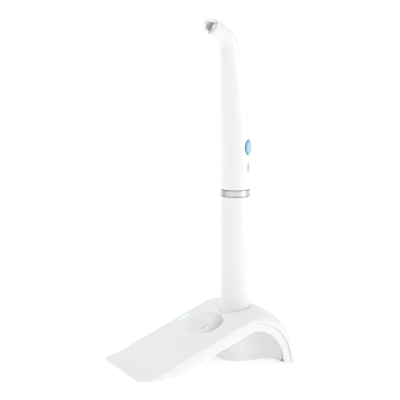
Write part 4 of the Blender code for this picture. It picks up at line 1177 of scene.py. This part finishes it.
class CURING_OT_button(bpy.types.Operator):
    """Power button with its soft seal, and the small indicator under it"""

    bl_idname = "curing.button"
    bl_label = "Button and Indicator"

    def execute(self, context):
        neck = neck_of(context)
        place = neck.side(BUTTON_RISE)
        low = BUTTON_FACE - BUTTON_HEIGHT
        outline = egg(KEY_LENGTH, KEY_WIDTH)
        key = pillow("button_cap", outline, low, BUTTON_FACE - BUTTON_SWELL, BUTTON_FACE, place)
        finished(key, "button", look_of("blue_button"), "blue_button", "power_button")
        outline = egg(KEY_LENGTH + SEAL_SPREAD, KEY_WIDTH + SEAL_SPREAD)
        seal = prism("button_gasket", outline, SEAT_RADIUS, SEAL_TOP, place)
        hole = prism("seal_hole", egg(KEY_LENGTH + GAP, KEY_WIDTH + GAP), *CUT_SPAN, place)
        carve(seal, hole)
        finished(seal, "head", kept("button_rim_finish", button_rim), "grey_plastic", "button_seal")
        outline = oval(INDICATOR_LENGTH - GAP, INDICATOR_WIDTH - GAP)
        place = neck.side(INDICATOR_RISE)
        window = pillow("indicator_cap", outline, SEAT_RADIUS, INDICATOR_SHOULDER, INDICATOR_FACE, place)
        finished(window, "head", look_of("grey_plastic"), "grey_plastic", "indicator_window")
        return {"FINISHED"}


class CURING_OT_lens(bpy.types.Operator):
    """Clear domed lens in its bezel, over the mirror cone"""

    bl_idname = "curing.lens"
    bl_label = "Lens and Mirror"

    def execute(self, context):
        nose = neck_of(context).nose()
        foot = BEZEL_LENGTH + LENS_GAP
        outline = [(0, -GAP), (LENS_STEM, -GAP), (LENS_STEM, foot), (LENS_RADIUS - LENS_EDGE, foot)]
        outline += arc((0, foot + LENS_EDGE), LENS_RADIUS, 0, 90, 28)[:-1]
        outline.append((0, foot + LENS_RADIUS))
        lens = turned("lens_dome", outline, nose, 72)
        finished(lens, "head", look_of("clear_lens"), "clear_lens", "lens")
        outer = NOSE_RADIUS - BEZEL_INSET
        outline = rounded_lathe(outer, LENS_STEM + GAP, GAP, BEZEL_LENGTH, BEZEL_ROUND, 4)
        bezel = turned("lens_collar", outline, nose, 72)
        finished(bezel, "head", look_of("satin_aluminium"), "grey_plastic", "lens_bezel")
        steps = 10
        bowl = [(2.2 + 1.3 * (i / steps) ** 0.7, -3.0 + 2.3 * i / steps) for i in range(steps + 1)]
        inner = [(radius * MM, height * MM) for radius, height in bowl]
        outer_side = [(radius + BOWL_WALL, height) for radius, height in reversed(inner)]
        cone = turned("mirror_bowl", inner + outer_side, nose, 64)
        finished(cone, "head", look_of("mirror_cone"), "mirror_cone", "reflector")
        return {"FINISHED"}


class CURING_OT_status_light(bpy.types.Operator):
    """Light guide that lies flush in the ramp and glows mint"""

    bl_idname = "curing.status_light"
    bl_label = "Status Light"

    def execute(self, context):
        wave = wave_of(context)
        place = wave.on_ramp(LIGHT_ACROSS, LIGHT_ALONG)
        outline = oval(LIGHT_LENGTH - GAP, LIGHT_WIDTH - GAP)
        guide = pillow("status_light", outline, 0.2 * MM - SEAM_DEPTH, -0.3 * MM, 0.1 * MM, place)
        finished(guide, "base", look_of("mint_light"), "mint_light", "status_light_guide")
        return {"FINISHED"}


# ---------------------------------------------------------------- repeated pieces, made with Geometry Nodes


class Tree:
    """A small Geometry Nodes tree with named inputs, ended by Realize Instances and Set Material."""

    def __init__(self, name, **inputs):
        self.group = bpy.data.node_groups.new(name, "GeometryNodeTree")
        self.group.is_modifier = True
        interface = self.group.interface
        interface.new_socket("Geometry", in_out="OUTPUT", socket_type="NodeSocketGeometry")
        interface.new_socket("Geometry", in_out="INPUT", socket_type="NodeSocketGeometry")
        self.identifiers = {}
        for label, value in inputs.items():
            kind = "NodeSocketInt" if isinstance(value, int) else "NodeSocketFloat"
            title = label.replace("_", " ").capitalize()
            socket = interface.new_socket(title, in_out="INPUT", socket_type=kind)
            socket.default_value = value
            self.identifiers[label] = (socket.identifier, socket.name, value)
        self.start = self.node("NodeGroupInput")
        self.end = self.node("NodeGroupOutput")

    def node(self, kind, **inputs):
        made = self.group.nodes.new(kind)
        for label, value in inputs.items():
            self.feed(made, label.replace("_", " "), value)
        return made

    def feed(self, node, label, value):
        """Set an input, or link it to a node's first output or to one of the tree's named inputs."""
        socket = node.inputs[label]
        if isinstance(value, str):
            self.group.links.new(self.start.outputs[self.identifiers[value][1]], socket)
        elif isinstance(value, bpy.types.NodeSocket):
            self.group.links.new(value, socket)
        elif isinstance(value, bpy.types.Node):
            self.group.links.new(value.outputs[0], socket)
        else:
            socket.default_value = value

    def boolean(self, operation, first, *others):
        """An exact Boolean of meshes; a union has no first one."""
        made = self.node("GeometryNodeMeshBoolean")
        made.operation = operation
        made.solver = "EXACT"
        if first:
            self.group.links.new(first.outputs[0], made.inputs["Mesh 1"])
        for other in others:
            self.group.links.new(other.outputs[0], made.inputs["Mesh 2"])
        return made

    def scatter(self, shape, look, **inputs):
        """End the tree with the shape on each of the mesh's points, in one material."""
        places = self.node("GeometryNodeMeshToPoints", Mesh=self.start.outputs["Geometry"])
        spread = self.node("GeometryNodeInstanceOnPoints", Points=places, Instance=shape, **inputs)
        whole = self.node("GeometryNodeRealizeInstances", Geometry=spread)
        painted = self.node("GeometryNodeSetMaterial", Geometry=whole, Material=look)
        self.group.links.new(painted.outputs[0], self.end.inputs[0])

    def grow(self, name, points):
        """Run the tree on a mesh of the points, and return its result as a plain piece."""
        mesh = bpy.data.meshes.new(name)
        mesh.from_pydata(points, [], [])
        piece = bpy.data.objects.new(name, mesh)
        bpy.context.scene.collection.objects.link(piece)
        modifier = piece.modifiers.new("grow", "NODES")
        modifier.node_group = self.group
        for identifier, _, value in self.identifiers.values():
            modifier[identifier] = value
        settle(piece)
        if not piece.data.polygons:
            raise RuntimeError(f"the node tree made nothing for {name}")
        return piece


class CURING_OT_fasteners(bpy.types.Operator):
    """Shell screws with a socket in each head, and the rubber feet"""

    bl_idname = "curing.fasteners"
    bl_label = "Screws and Feet"

    def execute(self, context):
        wave = wave_of(context)
        steel = look_of("satin_steel")
        tree = Tree("screws", head_radius=SCREW_HEAD_RADIUS, head_depth=SCREW_HEAD_DEPTH,
                    shank_radius=SCREW_SHANK_RADIUS)
        head = tree.node("GeometryNodeMeshCylinder", Vertices=32, Radius="head_radius", Depth="head_depth")
        shank = tree.node("GeometryNodeMeshCylinder", Vertices=20, Radius="shank_radius", Depth=SCREW_LENGTH)
        drive = tree.node("GeometryNodeMeshCylinder", Vertices=6, Radius=SCREW_DRIVE_RADIUS,
                          Depth=SCREW_DRIVE_DEPTH)
        lift = SCREW_HEAD_DEPTH - SCREW_OVERLAP + SCREW_LENGTH / 2
        head = tree.node("GeometryNodeTransform", Geometry=head, Translation=(0, 0, SCREW_HEAD_DEPTH / 2))
        shank = tree.node("GeometryNodeTransform", Geometry=shank, Translation=(0, 0, lift))
        blank = tree.boolean("UNION", None, head, shank)
        screw = tree.boolean("DIFFERENCE", blank, drive)
        tree.scatter(screw, steel, Rotation=(wave.settings.ramp_slope, 0, 0))
        spots = [wave.on_ramp(x * MM, y * MM, SLAB_DEPTH + SCREW_SINK).translation for x, y in SCREW_PLACES]
        screws = tree.grow("shell_screws", spots)
        finished(screws, "base", steel, "satin_steel", *[f"shell_screw_{i}" for i in range(1, 5)])

        rubber = kept("pale_rubber_finish", pale_rubber)
        boxes = [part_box(f"rubber_foot_{i}") for i in range(1, 5)]
        tree = Tree("feet", pad_radius=FOOT_RADIUS, pad_height=boxes[0][1].z)
        pad = tree.node("GeometryNodeMeshCylinder", Vertices=40, Radius="pad_radius", Depth="pad_height")
        tree.scatter(pad, rubber)
        feet = tree.grow("rubber_feet", [(low + high) / 2 for low, high in boxes])
        finished(feet, "base", rubber, "dark_rubber", *[f"rubber_foot_{i}" for i in range(1, 5)])
        return {"FINISHED"}


# node, body, wire radius, top radius over foot radius, and the joint that shortens it
SPRINGS = (
    ("pin_spring_1", "base", 0.16 * MM, 1, "left_contact_press"),
    ("pin_spring_2", "base", 0.16 * MM, 1, "right_contact_press"),
    ("battery_spring", "grip", 0.4 * MM, 0.6, None),
)


class CURING_OT_springs(bpy.types.Operator):
    """Coil springs under the contact pins and the battery"""

    bl_idname = "curing.springs"
    bl_label = "Springs"

    def execute(self, context):
        steel = look_of("satin_steel")
        turns = context.scene.curing_handpiece.spring_turns
        for node, body, wire, top_share, press in SPRINGS:
            low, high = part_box(node)
            radius = (high.x - low.x) / 2 - wire
            tree = Tree(f"{node}_coil", wire=wire, turns=float(turns), foot_radius=radius,
                        top_radius=radius * top_share, rise=high.z - low.z - 2 * wire)
            helix = tree.node("GeometryNodeCurveSpiral", Resolution=24, Rotations="turns",
                              Start_Radius="foot_radius", End_Radius="top_radius", Height="rise")
            section = tree.node("GeometryNodeCurvePrimitiveCircle", Resolution=10)
            tree.feed(section, "Radius", "wire")
            tube = tree.node("GeometryNodeCurveToMesh", Curve=helix, Profile_Curve=section, Fill_Caps=True)
            tree.scatter(tube, steel)
            middle = (low + high) / 2
            spring = tree.grow(f"{node}_coil", [(middle.x, middle.y, low.z + wire)])
            finished(spring, body, steel, "satin_steel", node)
            if press:
                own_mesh(spring)
        return {"FINISHED"}


class CURING_OT_finishes(bpy.types.Operator):
    """Finishes for the solids that keep their own shape"""

    bl_idname = "curing.finishes"
    bl_label = "Inner Finishes"

    def execute(self, context):
        slots = {part["node"]: part["material_slot"] for part in frame["record"]["subparts"]}
        window = kept("frosted_window_finish", frosted_window)
        for name, node in frame["nodes"].items():
            look = window if name == "meter_window" else look_of(slots[name])
            node.data.materials.clear()
            node.data.materials.append(look)
        return {"FINISHED"}


# ---------------------------------------------------------------- stage

CAMERA_BEARING = radians(63.43)
CAMERA_DISTANCE = 1.0986
CAMERA_HEIGHT = 0.317
LOOK_BEARING = radians(64.86)
LOOK_DOWN = radians(9.9)
CAMERA_LENS = 128.86  # millimetres, on a 36 mm sensor
WORLD_FRONT = 0.74
WORLD_BACK = 0.88
FLOOR_GLOW = 0.31
FLOOR_RADIUS = 14.0
AIM_HEIGHT = 0.12


def soft_box(name, bearing, distance, height, size, power):
    """A square softbox that faces the middle of the object, placed by its bearing from the toe."""
    lamp = bpy.data.lights.new(name, "AREA")
    lamp.shape = "SQUARE"
    lamp.size = size
    lamp.energy = power
    made = bpy.data.objects.new(name, lamp)
    bpy.context.scene.collection.objects.link(made)
    made.location = (distance * sin(radians(bearing)), -distance * cos(radians(bearing)), height)
    aim = Vector((0, 0, AIM_HEIGHT)) - made.location
    made.rotation_euler = aim.to_track_quat("-Z", "Y").to_euler()


def studio_world():
    """Soft surround, white behind the object and dimmer in front of it."""
    world = bpy.data.worlds.new("studio")
    world.use_nodes = True
    nodes = world.node_tree.nodes
    links = world.node_tree.links
    side = nodes.new("ShaderNodeVectorMath")
    side.operation = "DOT_PRODUCT"
    side.inputs[1].default_value = (-sin(LOOK_BEARING), cos(LOOK_BEARING), 0)
    links.new(nodes.new("ShaderNodeTexCoord").outputs["Generated"], side.inputs[0])
    glow = nodes.new("ShaderNodeMapRange")
    glow.inputs["From Min"].default_value = -0.3
    glow.inputs["From Max"].default_value = 0.75
    glow.inputs["To Min"].default_value = WORLD_FRONT
    glow.inputs["To Max"].default_value = WORLD_BACK
    links.new(side.outputs["Value"], glow.inputs["Value"])
    links.new(glow.outputs["Result"], nodes["Background"].inputs["Strength"])
    nodes["Background"].inputs["Color"].default_value = (1, 1, 1, 1)
    return world


class CURING_OT_stage(bpy.types.Operator):
    """Pale floor, soft studio light and the camera"""

    bl_idname = "curing.stage"
    bl_label = "Stage"

    def execute(self, context):
        scene = context.scene
        floor = disc("floor", FLOOR_RADIUS, -0.01, 0.0, None, 64)
        floor.data.materials.append(kept("pale_floor_finish", pale_floor))

        scene.world = studio_world()
        scene.view_settings.view_transform = "Standard"
        soft_box("key_box", bearing=140, distance=1.3, height=0.32, size=0.7, power=2.9)
        soft_box("rim_box", bearing=-70, distance=1.2, height=0.5, size=0.7, power=1.0)
        soft_box("top_box", bearing=-20, distance=0.5, height=1.4, size=1.0, power=1.7)

        lens = bpy.data.cameras.new("camera")
        lens.lens = CAMERA_LENS
        lens.sensor_width = 36.0
        lens.clip_start = 0.01
        lens.clip_end = 50.0
        camera = bpy.data.objects.new("camera", lens)
        scene.collection.objects.link(camera)
        camera.location = (CAMERA_DISTANCE * sin(CAMERA_BEARING),
                           AXIS_Y - CAMERA_DISTANCE * cos(CAMERA_BEARING), CAMERA_HEIGHT)
        level = cos(LOOK_DOWN)
        back = Vector((sin(LOOK_BEARING) * level, -cos(LOOK_BEARING) * level, sin(LOOK_DOWN)))
        camera.rotation_euler = (-back).to_track_quat("-Z", "Y").to_euler()
        scene.camera = camera
        return {"FINISHED"}


# ---------------------------------------------------------------- panel and registration

OPERATORS = (
    CURING_OT_finishes,
    CURING_OT_base_cover,
    CURING_OT_base_liner,
    CURING_OT_pedestal,
    CURING_OT_grip,
    CURING_OT_ring,
    CURING_OT_head,
    CURING_OT_button,
    CURING_OT_lens,
    CURING_OT_status_light,
    CURING_OT_fasteners,
    CURING_OT_springs,
    CURING_OT_stage,
)


class CURING_PT_panel(bpy.types.Panel):
    """Sidebar panel with the settings and one button for each operator"""

    bl_idname = "CURING_PT_panel"
    bl_label = "Curing Light"
    bl_space_type = "VIEW_3D"
    bl_region_type = "UI"
    bl_category = "Curing Light"

    def draw(self, context):
        scene = context.scene
        for settings in (scene.curing_base, scene.curing_handpiece, scene.curing_look):
            box = self.layout.box()
            for name in settings.__annotations__:
                box.prop(settings, name)
        for operator in OPERATORS:
            self.layout.operator(operator.bl_idname)


SETTINGS = (CuringBaseSettings, CuringHandpieceSettings, CuringLookSettings)
CLASSES = (*SETTINGS, *OPERATORS, CURING_PT_panel)


def register():
    for kind in CLASSES:
        bpy.utils.register_class(kind)
    bpy.types.Scene.curing_base = PointerProperty(type=CuringBaseSettings)
    bpy.types.Scene.curing_handpiece = PointerProperty(type=CuringHandpieceSettings)
    bpy.types.Scene.curing_look = PointerProperty(type=CuringLookSettings)


def unregister():
    del bpy.types.Scene.curing_base
    del bpy.types.Scene.curing_handpiece
    del bpy.types.Scene.curing_look
    for kind in reversed(CLASSES):
        bpy.utils.unregister_class(kind)


def clear_startup():
    """Remove what a new file starts with, and keep the frame."""
    for old in list(bpy.data.objects):
        if old.name in ("Cube", "Light", "Camera"):
            bpy.data.objects.remove(old)


def main():
    register()
    clear_startup()
    for operator in OPERATORS:
        group, name = operator.bl_idname.split(".")
        getattr(getattr(bpy.ops, group), name)()


if __name__ == "__main__":
    main()
